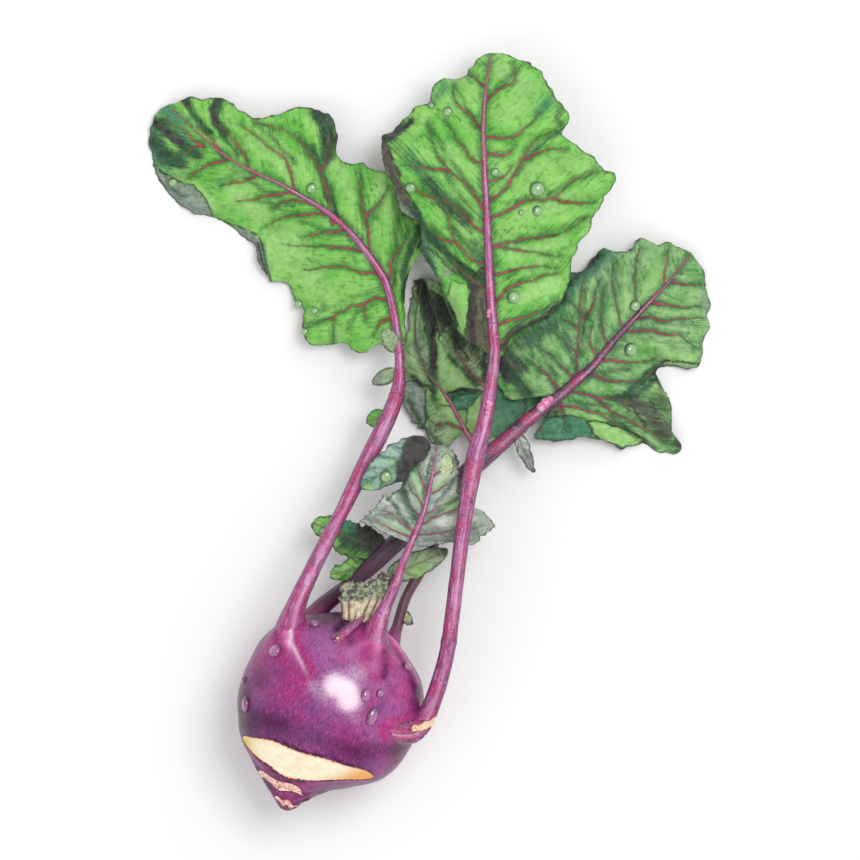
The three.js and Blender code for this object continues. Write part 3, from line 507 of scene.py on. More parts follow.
SMALL_LEAF = {
    "name": "small_leaf",
    "look": "grey",
    "slot": "leaf_grey",
    "blade_grid": (110, 140),
    "leafy": (0.78, 0.55),
    "foot": 15,
    "vein_width": 0.7,
    "blade_from": 5,
    "route": [
        (20, 24.5, 64, 4), (23, 37, 66, 3.8), (27, 47, 64, 3.2), (31.5, 57, 61, 2.5), (35, 67, 58, 2.1),
        (39.5, 78, 55.5, 1.8), (43.5, 87.5, 54, 1.6), (46.5, 96, 53, 1.4), (49, 106.5, 52, 1.2),
        (51, 116.5, 51.5, 1), (52.5, 127, 51, 0.6),
    ],
    "left": {
        "lift": (54, 49, 50),
        "wave": (1.5, 3, 0),
        "margin": [
            (35, 79.5), (29, 82), (19.5, 86.5), (14.5, 89), (17.5, 92), (24.5, 99.5), (26, 102.5),
            (33.5, 105), (35.5, 114), (40, 117), (46, 124.5), (49.5, 126.5),
        ],
    },
    "right": {
        "lift": (51, 44, 46),
        "wave": (1, 3, 1),
        "margin": [
            (44, 76), (59, 78), (70.5, 77.5), (76, 82.5), (81, 86), (76, 93.5), (70.5, 96.5), (64.5, 103),
            (63.5, 114.5), (62, 123), (55.5, 127),
        ],
    },
    "shade": [
        ([(44, 122), (38, 114), (35, 108)], 2.6, 1), ([(34, 108), (38, 98), (42, 90)], 1.8, 0.7),
        ([(27, 102), (33, 94), (38, 86)], 1.6, 0.6), ([(50, 120), (48, 110), (46, 100)], 1.6, 0.6),
        ([(62, 112), (58, 104), (52, 98)], 1.8, 0.6), ([(64, 102), (58, 97), (50, 91)], 1.6, 0.6),
        ([(45, 80), (54, 79), (62, 79)], 2, 0.4), ([(62, 122), (64, 112), (66, 102)], 2, 0.7),
    ],
    "glow": [
        ([(40, 114), (44, 106), (45, 98)], 3, 0.5), ([(56, 96), (64, 100)], 3, 0.7),
        ([(52, 106), (57, 112)], 3, 0.5), ([(24, 90), (36, 84)], 3, 0.4),
    ],
    "ash": [
        ([(18, 90), (30, 94)], 6, 0.6), ([(46, 83), (58, 82), (70, 82)], 5, 0.8),
        ([(34, 100), (38, 108)], 4, 0.4),
    ],
    "teal": [([(33, 106), (37, 98), (40, 90)], 3, 0.5), ([(40, 116), (46, 110)], 3, 0.5)],
    "soot": [
        ([(46, 125), (40, 117), (36, 110)], 1.2, 0.7), ([(33, 106), (30, 102), (27, 100)], 1, 0.6),
        ([(64, 112), (63, 104), (66, 99)], 1.2, 0.6), ([(44, 100), (41, 106)], 0.8, 0.4),
    ],
    "veins": [
        [(41, 79.5), (33, 83.5), (25, 87), (17.5, 90)],
        [(42, 81.5), (37.5, 86), (29.5, 92.5), (22.5, 95.5)],
        [(44.5, 91), (40, 95.5), (35.5, 102.5), (33.5, 108)],
        [(45.5, 96), (43, 100.5), (39, 106.5), (36, 112.5)],
        [(48, 103), (45, 109.5), (42.5, 115.5), (43, 120)], [(43, 82), (53, 83), (62, 84.5), (74, 85.5)],
        [(45.5, 88), (53, 91.5), (62, 94.5), (70, 93)], [(47.5, 92.5), (53, 96), (61.5, 100.5)],
        [(50, 103), (55, 106), (60, 108.5)], [(50.5, 111), (55, 115), (58.5, 120)],
        [(29.5, 92.5), (24, 92)], [(53, 83), (58, 80)],
    ],
}
LEAVES = [LEFT_LEAF, TOP_LEAF, RIGHT_LEAF, BACK_LEAF, SMALL_LEAF]
FOOT_STRETCH = 4.5          # how many stretches of its route a stalk's foot takes in
STALK_CAP = 0.012           # how much of the way from 0 to 1 each round end takes
# Ridges along a stalk, and pleats at a torn heel: height in parts of the radius, count and turn.
STALK_RIDGES = ((0.035, 3, 1), (0.02, 11, 0), (0.012, 17, 0))
HEEL_PLEATS = ((0.16, 5, 0.6), (0.07, 9, 0))
# Where pleats and rags of a torn heel fade in, in stretches of its route from the foot.
PLEATED = (3.6, 1.4)
RAGGED = (2.6, 0.6)
RAG_DIRECTION = np.array([0.6, 0.8, 0.3])
STALK_WALK = 300            # about how long a stalk is, for the noise along it
EDGE_WALK = 260             # the same for a blade's edge
FOOT_BLUSH = 9              # how far from the bulb a stalk's foot takes its colour

PUFF_HEIGHT = 2.1           # how high a blade puffs up between its veins
PUFF_REACH = 4.2            # how far from a vein it takes to puff up

MAIN_VEIN = 0.52            # half width of a side vein at its root
SHORT_VEIN = 0.34           # the same, for a vein with only two points
VEIN_LIMIT = 9              # the most vein widths from a vein that a blade notes
VEIN_SLANT = 0.55           # how far a side vein runs along the midrib, for each step away from it
# The painted shadow line round a crisp patch: how far outside its outline, and its width.
CREASE_OUTSET = 0.4
CREASE_WIDTH = 0.55

# Colour marks on the bulb's upper side, in the same form as a leaf's.
BULB_MAGENTA = [
    (-22, 6, 9, 0.6), (36, 4, 9, 0.6), (-34, 22, 7, 0.3), (27, 22, 8, 0.7), (9, -20, 9, 0.5),
    (-12, 18, 8, 0.4), (38, -14, 8, 0.6), (-20, -12, 6, 0.4),
]
BULB_DARK = [
    ([(-38, -8), (-26, -11), (-12, -15)], 7, 0.45), ([(-36, 2), (-24, -4)], 6, 0.3),
    ([(-40, 24), (-34, 32)], 5, 0.3), ([(-6, -19), (4, -22), (14, -26)], 6, 0.45),
    ([(20, -24), (30, -24), (36, -20)], 6, 0.5), ([(-43, 6), (-42, -4), (-38, -14)], 5, 0.4),
    ([(23, 24), (27, 12), (30, 5)], 3, 0.5), ([(-10, 14), (-4, 20), (-2, 28)], 4, 0.2),
    ([(-30, 20), (-34, 8)], 5, 0.35), ([(36, 24), (42, 10), (43, -4)], 4, 0.4),
]
# A painted highlight: a pale patch on the skin where the light's reflection falls.
BULB_BLOOM = [
    ([(2, 8), (7, 6), (9, 1)], 6.5, 0.9), ([(0, 10), (8, 10), (14, 14)], 8, 0.3),
    ([(8, -2), (12, -8)], 5, 0.25), ([(-9, 8), (-3, 2)], 5, 0.3),
]
# Pale lilac marks; the large one at (6.5, 6) is a painted halo of light round the highlight.
BULB_PALE = [
    (26, 8, 10, 0.6), ([(32, 4), (30, -8), (22, -15)], 7, 0.5), ([(-32, 16), (-30, 8)], 5, 0.3),
    (6.5, 6, 13, 0.9), (-2, 24, 12, 0.6), (10, 24, 8, 0.5), (-35, 2, 6, 0.35), (16, -12, 7, 0.35),
    (-14, 30, 6, 0.5),
]
# Painted shade in the hollows between the leaf bases.
CROWN_HOLLOWS = [
    (1, 42, 4, 1), (5, 38, 3.4, 1), (-3, 41, 4, 1), (-8, 42, 4, 1), (3, 36, 3, 1), (-13, 43, 4, 0.9),
    (26, 25, 2.5, 0.6), (10, 29, 2.5, 0.5), (2, 31, 2, 0.6),
]

# The youngest leaf at the crown, with a curled stub of a stalk beside it.
HEART_STALK = {"route": [(10, 32, 54, 4), (12, 44, 58.5, 2.6), (14, 52, 57.5, 1.8), (15, 58, 57, 1)]}
HEART_STUB = {
    "route": [(1.5, 29.5, 77.5, 2.6), (7, 34, 73, 2.2), (12, 38, 67.5, 1.8), (16.5, 41.5, 63, 1.4)],
    "tears": [(1, 29, 1.8, 0.75), (4, 31.5, 1.2, 0.6)],
}
# Its lobes: root, tip, half width and the height of the ripples.
HEART_LOBES = [
    ((10.5, 40, 64), (11.5, 58, 57.5), 7, 1.2), ((14, 39, 64), (23, 62, 57), 8, 1.5),
    ((16.5, 41, 62), (31, 61.5, 53), 6, 1.2),
]

# Leaflets: root inside the stalk, tip, half width and the height of the ripples.
LEAFLETS = {
    "left_leaf": [
        ((32.5, 174, 26.5), (26, 185, 32), 4.5, 0.4), ((32.5, 164, 29), (20, 158, 25), 4, 0.5),
        ((27, 141, 35), (17, 139, 28), 5, 0.6),
    ],
    "right_leaf": [
        ((27, 73.5, 32), (-10, 88, 27), 9, 1.6), ((20, 67, 32), (-1, 62, 37), 5.5, 1),
        ((92, 134, 23.5), (101, 113, 15), 3.5, 1),
    ],
    "back_leaf": [((28, 61, 26.4), (58, 74, 27), 6.5, 0.8), ((34, 44, 29.5), (40, 37, 33), 3, 0.6)],
    "small_leaf": [
        ((48.5, 129, 50.2), (14.5, 106, 50.5), 9, 0.8),
        ((56.5, 111.5, 49.5), (57.5, 122.5, 52.5), 4.2, 0.3),
    ],
}

# How each leaflet looks: its material, roundness, teeth, veins and patches of painted light and shade, and of
# grey.
LEAFLET_STYLES = {
    "left_leaf_1": {"look": "pale", "round": 0.42, "teeth": 0.03, "veins": 0.1},
    "left_leaf_2": {"look": "pale", "round": 0.5, "teeth": 0.03, "veins": 0.1,
                    "ash": ((23, 161, 4, 0.9),)},
    "left_leaf_3": {"look": "fresh", "round": 0.55, "teeth": 0.03, "veins": 0.2},
    "right_leaf_1": {"look": "fresh", "round": 0.45, "teeth": 0.2, "veins": 0.4,
                     "shade": [([(8, 78), (16, 78), (24, 74)], 6, 1)],
                     "soot": [([(18, 85), (22, 79), (27, 73)], 6.5, 1.5)],
                     "teal": [([(6, 84), (12, 84)], 6, 1)],
                     "glow": ((-6, 86, 5, 0.9), (2, 84, 3, 0.6))},
    "right_leaf_2": {"look": "fresh", "round": 0.45, "teeth": 0.18, "veins": 0.4,
                     "shade": ((15, 70, 4, 0.8), (8, 62, 3, 0.5)),
                     "glow": ((0, 61, 4, 0.9), (6, 66, 3, 0.6)),
                     "soot": ((20, 70, 5, 1),)},
    "right_leaf_3": {"look": "grey", "round": 0.6, "teeth": 0.15, "veins": 0.3,
                     "ash": ((98, 120, 6, 0.8),)},
    "back_leaf_1": {"look": "pale", "round": 0.5, "teeth": 0.04, "veins": 0.4,
                    "shade": ((57, 74, 3, 0.9), (34, 64, 4, 0.4)),
                    "ash": ((52, 75, 5, 0.8), (30, 60, 4, 0.6)),
                    "glow": ((44, 64, 5, 0.9),)},
    "back_leaf_2": {"look": "cream", "round": 0.6, "teeth": 0.08, "veins": 0.1,
                    "ash": ((40, 37, 5, 0.6),)},
    "small_leaf_1": {"look": "teal", "round": 0.5, "teeth": 0.1, "veins": 0.1,
                     "wine": [([(36, 126), (41, 133.5), (50, 139), (50, 126), (44, 116), (38, 108), (34, 102),
                                (27, 97), (20, 98), (27.5, 103.5), (33.5, 108.5), (36, 115)], 1)],
                     "soot": [([(50, 134), (43, 125), (38, 115)], 6, 1.5),
                              ([(36, 110), (31, 104), (24, 99)], 3.4, 1.3)],
                     "glow": ((18, 105, 3, 0.9), (30, 118, 3, 0.5), (25, 112, 3, 0.5))},
    "small_leaf_2": {"look": "cream", "round": 0.45, "teeth": 0.02, "veins": 0.05},
}

# Water drops seen from above: x, y, radius and, for a long one, how many times longer it is.
BULB_DROPS = [
    (-27.5, 24.5, 3.3), (-8.5, 37.5, 2.6), (-42.5, -2, 2.4, 1.6), (17, 3, 2.6, 1.3), (24, 4, 2.1),
    (20, -7.5, 2.8, 1.7), (37, 16.5, 2.6), (-43.5, 10, 2),
]
LEAF_DROPS = [
    (-10.5, 256, 2.8), (-80.5, 259.5, 2.4), (-17, 198, 2.2), (-9, 194.5, 1.8), (-14, 184, 2),
    (58, 294, 2.6), (50, 297, 1.6), (39.5, 256, 3), (81.5, 263.5, 2.2), (102.5, 255, 4),
    (102.5, 244, 2.7), (94.5, 243, 1.4), (90.5, 200.5, 3.4), (149.5, 175, 3.4), (152, 197, 2.8),
    (27, 111.5, 3.2), (54.5, 180.5, 2), (-4.5, 84, 2),
]
# Pink buds on the stalks: x, y and radius.
BUDS = [
    (107, 148, 2.6), (104.6, 146, 2.2), (109.2, 149.8, 1.7), (78.6, 148, 1.8), (78, 145.4, 1.6),
    (77.4, 143, 1.2), (78.6, 193.6, 1.3), (78.4, 191.4, 1.1),
]
DROP_START = 0.3            # height from which drops are let fall, in metres
DROP_LIFT = 0.15            # how far a drop's middle stands off the surface, in radii
# The drops' dark edge is painted shade, darkest towards one side.
DROP_SHADE = 0.28 * np.array([-0.6, 0.75, 0])     # towards the side of a drop that looks darkest

# ---- the stage ----
FLOOR_SIZE = 40             # in metres
SKY_STRENGTH = 0.68
VIEW_CENTRE = (49, 134.5, 40)     # the point in the middle of the picture, in millimetres
VIEW_WIDTH = 430                  # what the picture takes in there, in millimetres
VIEW_DISTANCE = 5.0               # in metres
SENSOR_WIDTH = 36


# ---- settings that a user may change ----
def rgb(red, green, blue):
    """A screen colour, from 0 to 255, as the linear colour that a shader takes."""
    def linear(level):
        level /= 255
        return level / 12.92 if level <= 0.04045 else ((level + 0.055) / 1.055) ** 2.4
    return (linear(red), linear(green), linear(blue), 1.0)


def colour_property(name, red, green, blue):
    """A colour setting, given as it looks on a screen, from 0 to 255."""
    return bpy.props.FloatVectorProperty(
        name=name, description=f"Colour of the {name.lower()}", subtype="COLOR",
        size=4, min=0, max=1, default=rgb(red, green, blue))


def length_property(name, description, default, least, most):
    """A size setting, in metres."""
    return bpy.props.FloatProperty(
        name=name, description=description, default=default, min=least, max=most, unit="LENGTH")


class KohlrabiSizes(bpy.types.PropertyGroup):
    """Real sizes of the kohlrabi."""

    flat_spot_radius: length_property("Flat spot radius", "Radius of the spot that the bulb rests on",
                                      0.012, 0.002, 0.03)
    widest: length_property("Widest ring", "Distance from the root tip to the widest ring",
                            0.060, 0.05, 0.07)
    blade_thickness: length_property("Blade thickness", "Thickness of the leaf blades",
                                     0.0007, 0.0004, 0.001)
    paring_depth: length_property("Paring depth", "How deep the pared band is cut", 0.0013, 0.0, 0.003)
    bulb_lean: bpy.props.FloatProperty(
        name="Bulb lean", description="Turn of the bulb's axis from +Y towards +X",
        default=math.radians(23.6), subtype="ANGLE")


class KohlrabiColours(bpy.types.PropertyGroup):
    """Main colours of the kohlrabi."""

    skin: colour_property("Bulb skin", 150, 58, 125)
    flesh: colour_property("Pared flesh", 255, 246, 216)
    stalk: colour_property("Stalk skin", 160, 64, 124)
    leaf: colour_property("Leaf green", 104, 186, 70)
    grey_leaf: colour_property("Grey leaf", 158, 170, 152)


def sizes():
    return bpy.context.scene.kohlrabi_sizes


def colours():
    return bpy.context.scene.kohlrabi_colours


# ---- curves and noise ----
def catmull_rom(points, t):
    """Points of a smooth line at t, from 0 to 1, evenly by control point."""
    points = np.asarray(points, float)
    ends = np.vstack([2 * points[0] - points[1], points, 2 * points[-1] - points[-2]])
    place = np.clip(t, 0, 1) * (len(points) - 1)
    i = np.minimum(place.astype(int), len(points) - 2)
    f = (place - i)[:, None]
    a, b, c, d = ends[i], ends[i + 1], ends[i + 2], ends[i + 3]
    return 0.5 * (2 * b + (c - a) * f + (2 * a - 5 * b + 4 * c - d) * f**2 + (3 * (b - c) + d - a) * f**3)


def by_length(points, u):
    """Points of a smooth line at u, from 0 to 1, evenly by length."""
    t = np.linspace(0, 1, LINE_STEPS)
    line = catmull_rom(points, t)
    steps = np.concatenate([[0], np.cumsum(np.linalg.norm(np.diff(line, axis=0), axis=1))])
    return catmull_rom(points, np.interp(u * steps[-1], steps, t))


def soft_noise(x, y, size, seed):
    """Smooth noise from -1 to 1, with bumps about `size` across."""
    lattice = np.random.default_rng(seed).uniform(-1, 1, (LATTICE, LATTICE))
    x, y = x / size, y / size
    ix, iy = np.floor(x).astype(int), np.floor(y).astype(int)
    fx, fy = x - ix, y - iy
    fx, fy = fx * fx * (3 - 2 * fx), fy * fy * (3 - 2 * fy)

    def at(i, j):
        return lattice[(ix + i) % LATTICE, (iy + j) % LATTICE]

    low = at(0, 0) * (1 - fx) + at(1, 0) * fx
    high = at(0, 1) * (1 - fx) + at(1, 1) * fx
    return low * (1 - fy) + high * fy


def layered(x, y, *layers):
    """Sum of layers of smooth noise, each with its height, the size of its bumps and its seed."""
    return sum(height * soft_noise(x, y, size, seed) for height, size, seed in layers)


def smooth(low, high, x):
    """0 below low, 1 above high and smooth between."""
    s = np.clip((x - low) / (high - low), 0, 1)
    return s * s * (3 - 2 * s)


def hump(gap, reach=1):
    """1 where the gap is 0, fading away over the reach."""
    return np.exp(-((gap / reach) ** 2))


def route_at(route, t):
    """Centre, radius, sideways and upward directions of a stalk at t."""
    step = 1e-4
    here = catmull_rom(route, t)
    forward = (catmull_rom(route, t + step) - catmull_rom(route, t - step))[:, :3]
    forward /= np.linalg.norm(forward, axis=1)[:, None]
    side = np.stack([forward[:, 1], -forward[:, 0], np.zeros(len(t))], 1)
    side /= np.linalg.norm(side, axis=1)[:, None]
    return here[:, :3], here[:, 3], side, np.cross(side, forward)


def to_stretch(points, start, end):
    """How far along a straight stretch each point's nearest place is, from 0 to 1, and the distance."""
    step = end - start
    f = np.clip((points - start) @ step / max(step @ step, 1e-9), 0, 1)
    return f, np.linalg.norm(points - start - f[:, None] * step, axis=1)


def line_gap(points, line):
    """Distance of each point from a line through a few places."""
    return np.minimum.reduce([to_stretch(points, a, b)[1] for a, b in zip(line[:-1], line[1:])])


def tube_gap(points, tube):
    """Distance of each point from a line of places whose fourth number is its radius."""
    gap = np.full(len(points), FAR)
    for a, b in zip(tube[:-1], tube[1:]):
        f, away = to_stretch(points, a[:3], b[:3])
        gap = np.minimum(gap, away - (a[3] + (b[3] - a[3]) * f))
    return gap


def outline_gap(points, outline):
    """Distance of each point inside a closed outline, negative outside it."""
    ring = np.vstack([outline, outline[:1]])
    x, y = points.T
    inside = np.zeros(len(points), bool)
    for (ax, ay), (bx, by) in zip(ring[:-1], ring[1:]):
        if ay != by:
            inside ^= ((ay > y) != (by > y)) & (x < (bx - ax) * (y - ay) / (by - ay) + ax)
    gap = line_gap(points, ring)
    return np.where(inside, gap, -gap)


def mark_field(points, marks):
    """A field from listed marks: the strongest mark at each point."""
    field = np.zeros(len(points))
    flat = points[:, :2]
    for place, *radius, strength in ((m[:2], *m[2:]) if np.isscalar(m[0]) else m for m in marks):
        if not radius:
            share = smooth(-0.5, 0.5, outline_gap(flat, np.array(place, float)))
        elif np.isscalar(place[0]):
            share = hump(np.linalg.norm(flat - np.array(place, float), axis=1), radius[0])
        else:
            share = hump(line_gap(flat, np.array(place, float)), radius[0])
        field = np.maximum(field, strength * share)
    return field


def crease_field(points, leaf):
    """Painted shadow lines along the outlines of the crisp patches."""
    field = np.zeros(len(points))
    for patch in PATCHES:
        for mark in leaf.get(patch, ()):
            if len(mark) == 2:
                outline, strength = mark
                gap = outline_gap(points[:, :2], np.array(outline, float)) + CREASE_OUTSET
                field = np.maximum(field, strength * hump(gap, CREASE_WIDTH))
    return field


# ---- meshes ----
def shaped_grid(name, columns, rows):
    """A grid whose place across, from -1 to 1, and along, from 0 to 1, are returned with it."""
    bpy.ops.object.select_all(action="DESELECT")
    bpy.ops.mesh.primitive_grid_add(x_subdivisions=columns, y_subdivisions=rows, size=2)
    piece = bpy.context.object
    piece.name = piece.data.name = name
    spots = np.empty(len(piece.data.vertices) * 3)
    piece.data.vertices.foreach_get("co", spots)
    spots = spots.reshape(-1, 3)
    return piece, spots[:, 0].copy(), (spots[:, 1] + 1) / 2


def set_points(piece, points):
    """Moves a piece's points to places given in millimetres."""
    piece.data.vertices.foreach_set("co", (np.asarray(points) * MM).ravel())
    piece.data.update()


def note(piece, **fields):
    """Writes number fields on a piece's points, for its material."""
    for name, values in fields.items():
        field = piece.data.attributes.new(name, "FLOAT", "POINT")
        field.data.foreach_set("value", np.asarray(values, np.float32))


def close_up(piece):
    """Joins a rolled-up grid along its seam and poles, with its faces pointing out."""
    bpy.ops.object.mode_set(mode="EDIT")
    bpy.ops.mesh.select_all(action="SELECT")
    bpy.ops.mesh.remove_doubles(threshold=2e-6)
    bpy.ops.mesh.normals_make_consistent(inside=False)
    bpy.ops.object.mode_set(mode="OBJECT")
    bpy.ops.object.shade_smooth()


def face_up(piece):
    """Turns a sheet's faces so that most of them look up."""
    if sum(face.normal.z for face in piece.data.polygons) > 0:
        return
    bpy.ops.object.mode_set(mode="EDIT")
    bpy.ops.mesh.select_all(action="SELECT")
    bpy.ops.mesh.flip_normals()
    bpy.ops.object.mode_set(mode="OBJECT")


def finish_piece(piece, materials, slot, *nodes):
    """Gives a piece its materials, attaches it and hides the CAD nodes that it stands for. The slot is not
    used.
    """
    for material in materials:
        piece.data.materials.append(material)
    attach(piece, BODY)
    if nodes:
        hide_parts(*nodes)


def finish_sheet(piece, materials, slot, node):
    """Finishes a leafy sheet and thickens it, with the last material on its underside."""
    face_up(piece)
    finish_piece(piece, materials, slot, node)
    wall = piece.modifiers.new("Wall", "SOLIDIFY")
    wall.thickness = sizes().blade_thickness
    wall.offset = -1
    wall.material_offset = len(materials) - 1
    bpy.ops.object.modifier_apply(modifier=wall.name)
    bpy.ops.object.shade_smooth()


# ---- materials ----
class Paint:
    """Builds a material's nodes from short calls, and keeps the colour that is laid on so far."""

    def __init__(self, name, colour):
        self.material = bpy.data.materials.new(name)
        self.material.use_nodes = True
        self.nodes = self.material.node_tree.nodes
        self.shader = self.nodes["Principled BSDF"]
        self.place = self.node("TexCoord", "Object")
        self.uv = self.node("UVMap", "UV")
        self.colour = colour

    def feed(self, socket, value):
        """Links a socket to another one, or gives it a constant."""
        if isinstance(value, bpy.types.NodeSocket):
            self.material.node_tree.links.new(value, socket)
        else:
            socket.default_value = value

    def node(self, kind, output, inputs=None, **settings):
        """Adds a node with its settings and inputs, and returns one of its outputs."""
        node = self.nodes.new(f"ShaderNode{kind}")
        for name, value in settings.items():
            setattr(node, name, value)
        for name, value in (inputs or {}).items():
            self.feed(node.inputs[name], value)
        return node.outputs[output]

    def field(self, name):
        return self.node("Attribute", "Fac", attribute_name=name)

    def noise(self, size_mm, detail):
        """Noise with bumps of a size in millimetres."""
        return self.noise_on(self.place, 1 / (size_mm * MM), detail)

    def noise_on(self, place, scale, detail):
        inputs = {"Vector": place, "Scale": scale, "Detail": detail, "Roughness": NOISE_ROUGHNESS}
        return self.node("TexNoise", "Fac", inputs)

    def uv_noise(self, scale, detail, across, along):
        """Noise that is drawn out along a rolled-up grid."""
        place = self.node("Mapping", "Vector", {"Vector": self.uv, "Scale": (across, along, 1)})
        return self.noise_on(place, scale, detail)

    def vein_noise(self, detail, across_mm, along_mm):
        """Noise that is drawn out along a blade's side veins."""
        across = self.math("DIVIDE", self.field("grain"), across_mm)
        along = self.math("DIVIDE", self.field("reach"), along_mm)
        return self.noise_on(self.node("CombineXYZ", "Vector", {"X": across, "Y": along}), 1, detail)

    def math(self, kind, a, b=0.0):
        return self.node("Math", "Value", {0: a, 1: b}, operation=kind)

    def times(self, a, b):
        return self.math("MULTIPLY", a, b)

    def ramp(self, value, low, high, to_low=0.0, to_high=1.0):
        """Eases from to_low to to_high as the value goes from low to high."""
        inputs = {"Value": value, "From Min": low, "From Max": high, "To Min": to_low, "To Max": to_high}
        return self.node("MapRange", "Result", inputs, interpolation_type="SMOOTHSTEP")

    def frayed(self, value, noise, low, high, least, most):
        """A value that noise pushes up and down, so that its edge is ragged."""
        return self.math("ADD", value, self.ramp(noise, low, high, least, most))

    def mix(self, share, a, b):
        return self.node("Mix", 2, {"Factor": share, 6: a, 7: b}, data_type="RGBA")

    def tint(self, share, colour):
        """Lays a colour over what is there, by its share."""
        self.colour = self.mix(share, self.colour, colour)

    def wash(self, value, low, high, most, colour):
        """Lays a colour over what is there, up to its most as the value goes from low to high."""
        self.tint(self.ramp(value, low, high, 0, most), colour)

    def bump(self, height, strength, distance_mm, below=None):
        inputs = {"Height": height, "Strength": strength, "Distance": distance_mm * MM}
        if below is not None:
            inputs["Normal"] = below
        return self.node("Bump", "Normal", inputs)

    def finish(self, roughness, normal=None, **constants):
        """Feeds the shader and sets constants on its own sockets."""
        inputs = {"Base Color": self.colour, "Roughness": roughness}
        if normal is not None:
            inputs["Normal"] = normal
        inputs.update({name.replace("_", " "): value for name, value in constants.items()})
        for name, value in inputs.items():
            self.feed(self.shader.inputs[name], value)
        return self.material


BULB_TINTS = {
    "cloud": rgb(118, 54, 122), "rose": rgb(156, 42, 112), "plum": rgb(92, 36, 96),
    "violet": rgb(178, 112, 172), "blush": rgb(180, 46, 122), "pale stroke": rgb(196, 108, 166),
    "dark stroke": rgb(80, 22, 72), "dusk": rgb(68, 14, 62), "hollow": rgb(26, 8, 30),
    "crest": rgb(226, 124, 182), "pale grain": rgb(216, 150, 196), "dark grain": rgb(72, 18, 66),
    "bloom": rgb(252, 226, 240), "glint": rgb(255, 226, 240), "cut shadow": rgb(58, 12, 48),
}
FLESH_TINTS = {
    "fibre": rgb(236, 220, 158), "warmth": rgb(252, 228, 196), "olive": rgb(226, 208, 116),
    "orange": rgb(248, 176, 96), "dark scrape": rgb(196, 92, 122), "pale scrape": rgb(250, 218, 192),
    "outer rim": rgb(180, 56, 92), "inner rim": rgb(250, 190, 150),
}


def flesh_colour(p, ragged, fine):
    """Cream flesh with an orange end, and a pink rim where it meets the skin."""
    tints = FLESH_TINTS
    flesh = p.mix(p.ramp(p.noise(3, 3), 0.54, 0.66, 0, 0.5), tuple(colours().flesh), tints["fibre"])
    flesh = p.mix(p.ramp(p.noise(6, 3), 0.45, 0.65, 0, 0.6), flesh, tints["warmth"])
    flesh = p.mix(p.field("olive"), flesh, tints["olive"])
    flesh = p.mix(p.field("orange"), flesh, tints["orange"])
    scraped = p.mix(p.ramp(fine, 0.42, 0.56), tints["dark scrape"], tints["pale scrape"])
    flesh = p.mix(p.field("scrape"), flesh, scraped)
    rim = p.mix(p.ramp(ragged, 0.04, 0.14), tints["outer rim"], tints["inner rim"])
    return p.mix(p.ramp(ragged, 0.12, 0.32), rim, flesh)


def bulb_material():
    """Purple skin with violet and pink in it, painted shade and a painted highlight, and the pared band of
    cream flesh.
    """
    p = Paint("kohlrabi_bulb_skin", tuple(colours().skin))
    tints = BULB_TINTS
    stroke = p.uv_noise(5, 4, 46, 9)
    broad = p.uv_noise(5, 3, 9, 1.6)
    fine = p.noise(1.3, 2)
    grain = p.noise(0.6, 2)
    p.wash(p.noise(24, 4), 0.38, 0.6, 1, tints["cloud"])
    p.wash(broad, 0.5, 0.68, 0.65, tints["rose"])
    p.wash(broad, 0.48, 0.3, 0.55, tints["plum"])
    p.tint(p.field("violet"), tints["violet"])
    p.tint(p.field("blush"), tints["blush"])
    p.wash(stroke, 0.52, 0.72, 0.5, tints["pale stroke"])
    p.wash(stroke, 0.5, 0.32, 0.5, tints["dark stroke"])
    # Painted shade on the sides, the underside and in the furrows, with the darker root and dark marks.
    p.wash(p.frayed(p.field("dusk"), fine, 0.3, 0.7, -0.12, 0.1), 0, 1, 1, tints["dusk"])
    # Painted shade in the hollows between the leaf bases.
    p.tint(p.field("hollow"), tints["hollow"])
    p.tint(p.field("crest"), tints["crest"])
    p.wash(grain, 0.58, 0.72, 0.3, tints["pale grain"])
    p.wash(grain, 0.42, 0.3, 0.3, tints["dark grain"])
    # Painted highlight: a pale patch where the light's reflection falls on the skin.
    p.wash(p.frayed(p.field("bloom"), fine, 0.3, 0.7, -0.06, 0.06), 0.08, 0.8, 0.92, tints["bloom"])
    # A painted glint along one side of a ridge.
    p.tint(p.field("glint"), tints["glint"])
    ragged = p.frayed(p.field("paring"), p.noise(1.2, 4), 0.25, 0.75, -0.13, 0.13)
    p.wash(p.frayed(ragged, p.noise(3, 3), 0.3, 0.7, -0.5, 0.3), -0.9, -0.2, 0.85, tints["cut shadow"])
    pared = p.ramp(ragged, 0.0, 0.05)
    p.tint(pared, flesh_colour(p, ragged, fine))
    roughness = p.frayed(p.times(pared, 0.3), fine, 0.3, 0.7, 0.32, 0.4)
    normal = p.bump(p.noise(1.1, 3), 0.12, 0.15, p.bump(stroke, 0.2, 0.2))
    normal = p.bump(ragged, 0.5, 0.4, normal)
    return p.finish(roughness, normal, Coat_Weight=0.25, Coat_Roughness=0.2, Coat_IOR=1.5,
                    Specular_IOR_Level=0.1)


STALK_TINTS = {
    "crimson": rgb(188, 38, 110), "sheen": rgb(255, 214, 240), "speck": rgb(234, 190, 216),
    "base": rgb(158, 54, 122), "ring": rgb(70, 24, 54), "torn edge": rgb(78, 22, 46),
    "torn skin": rgb(236, 176, 150), "torn flesh": rgb(244, 222, 178), "scratch": rgb(206, 108, 128),
}


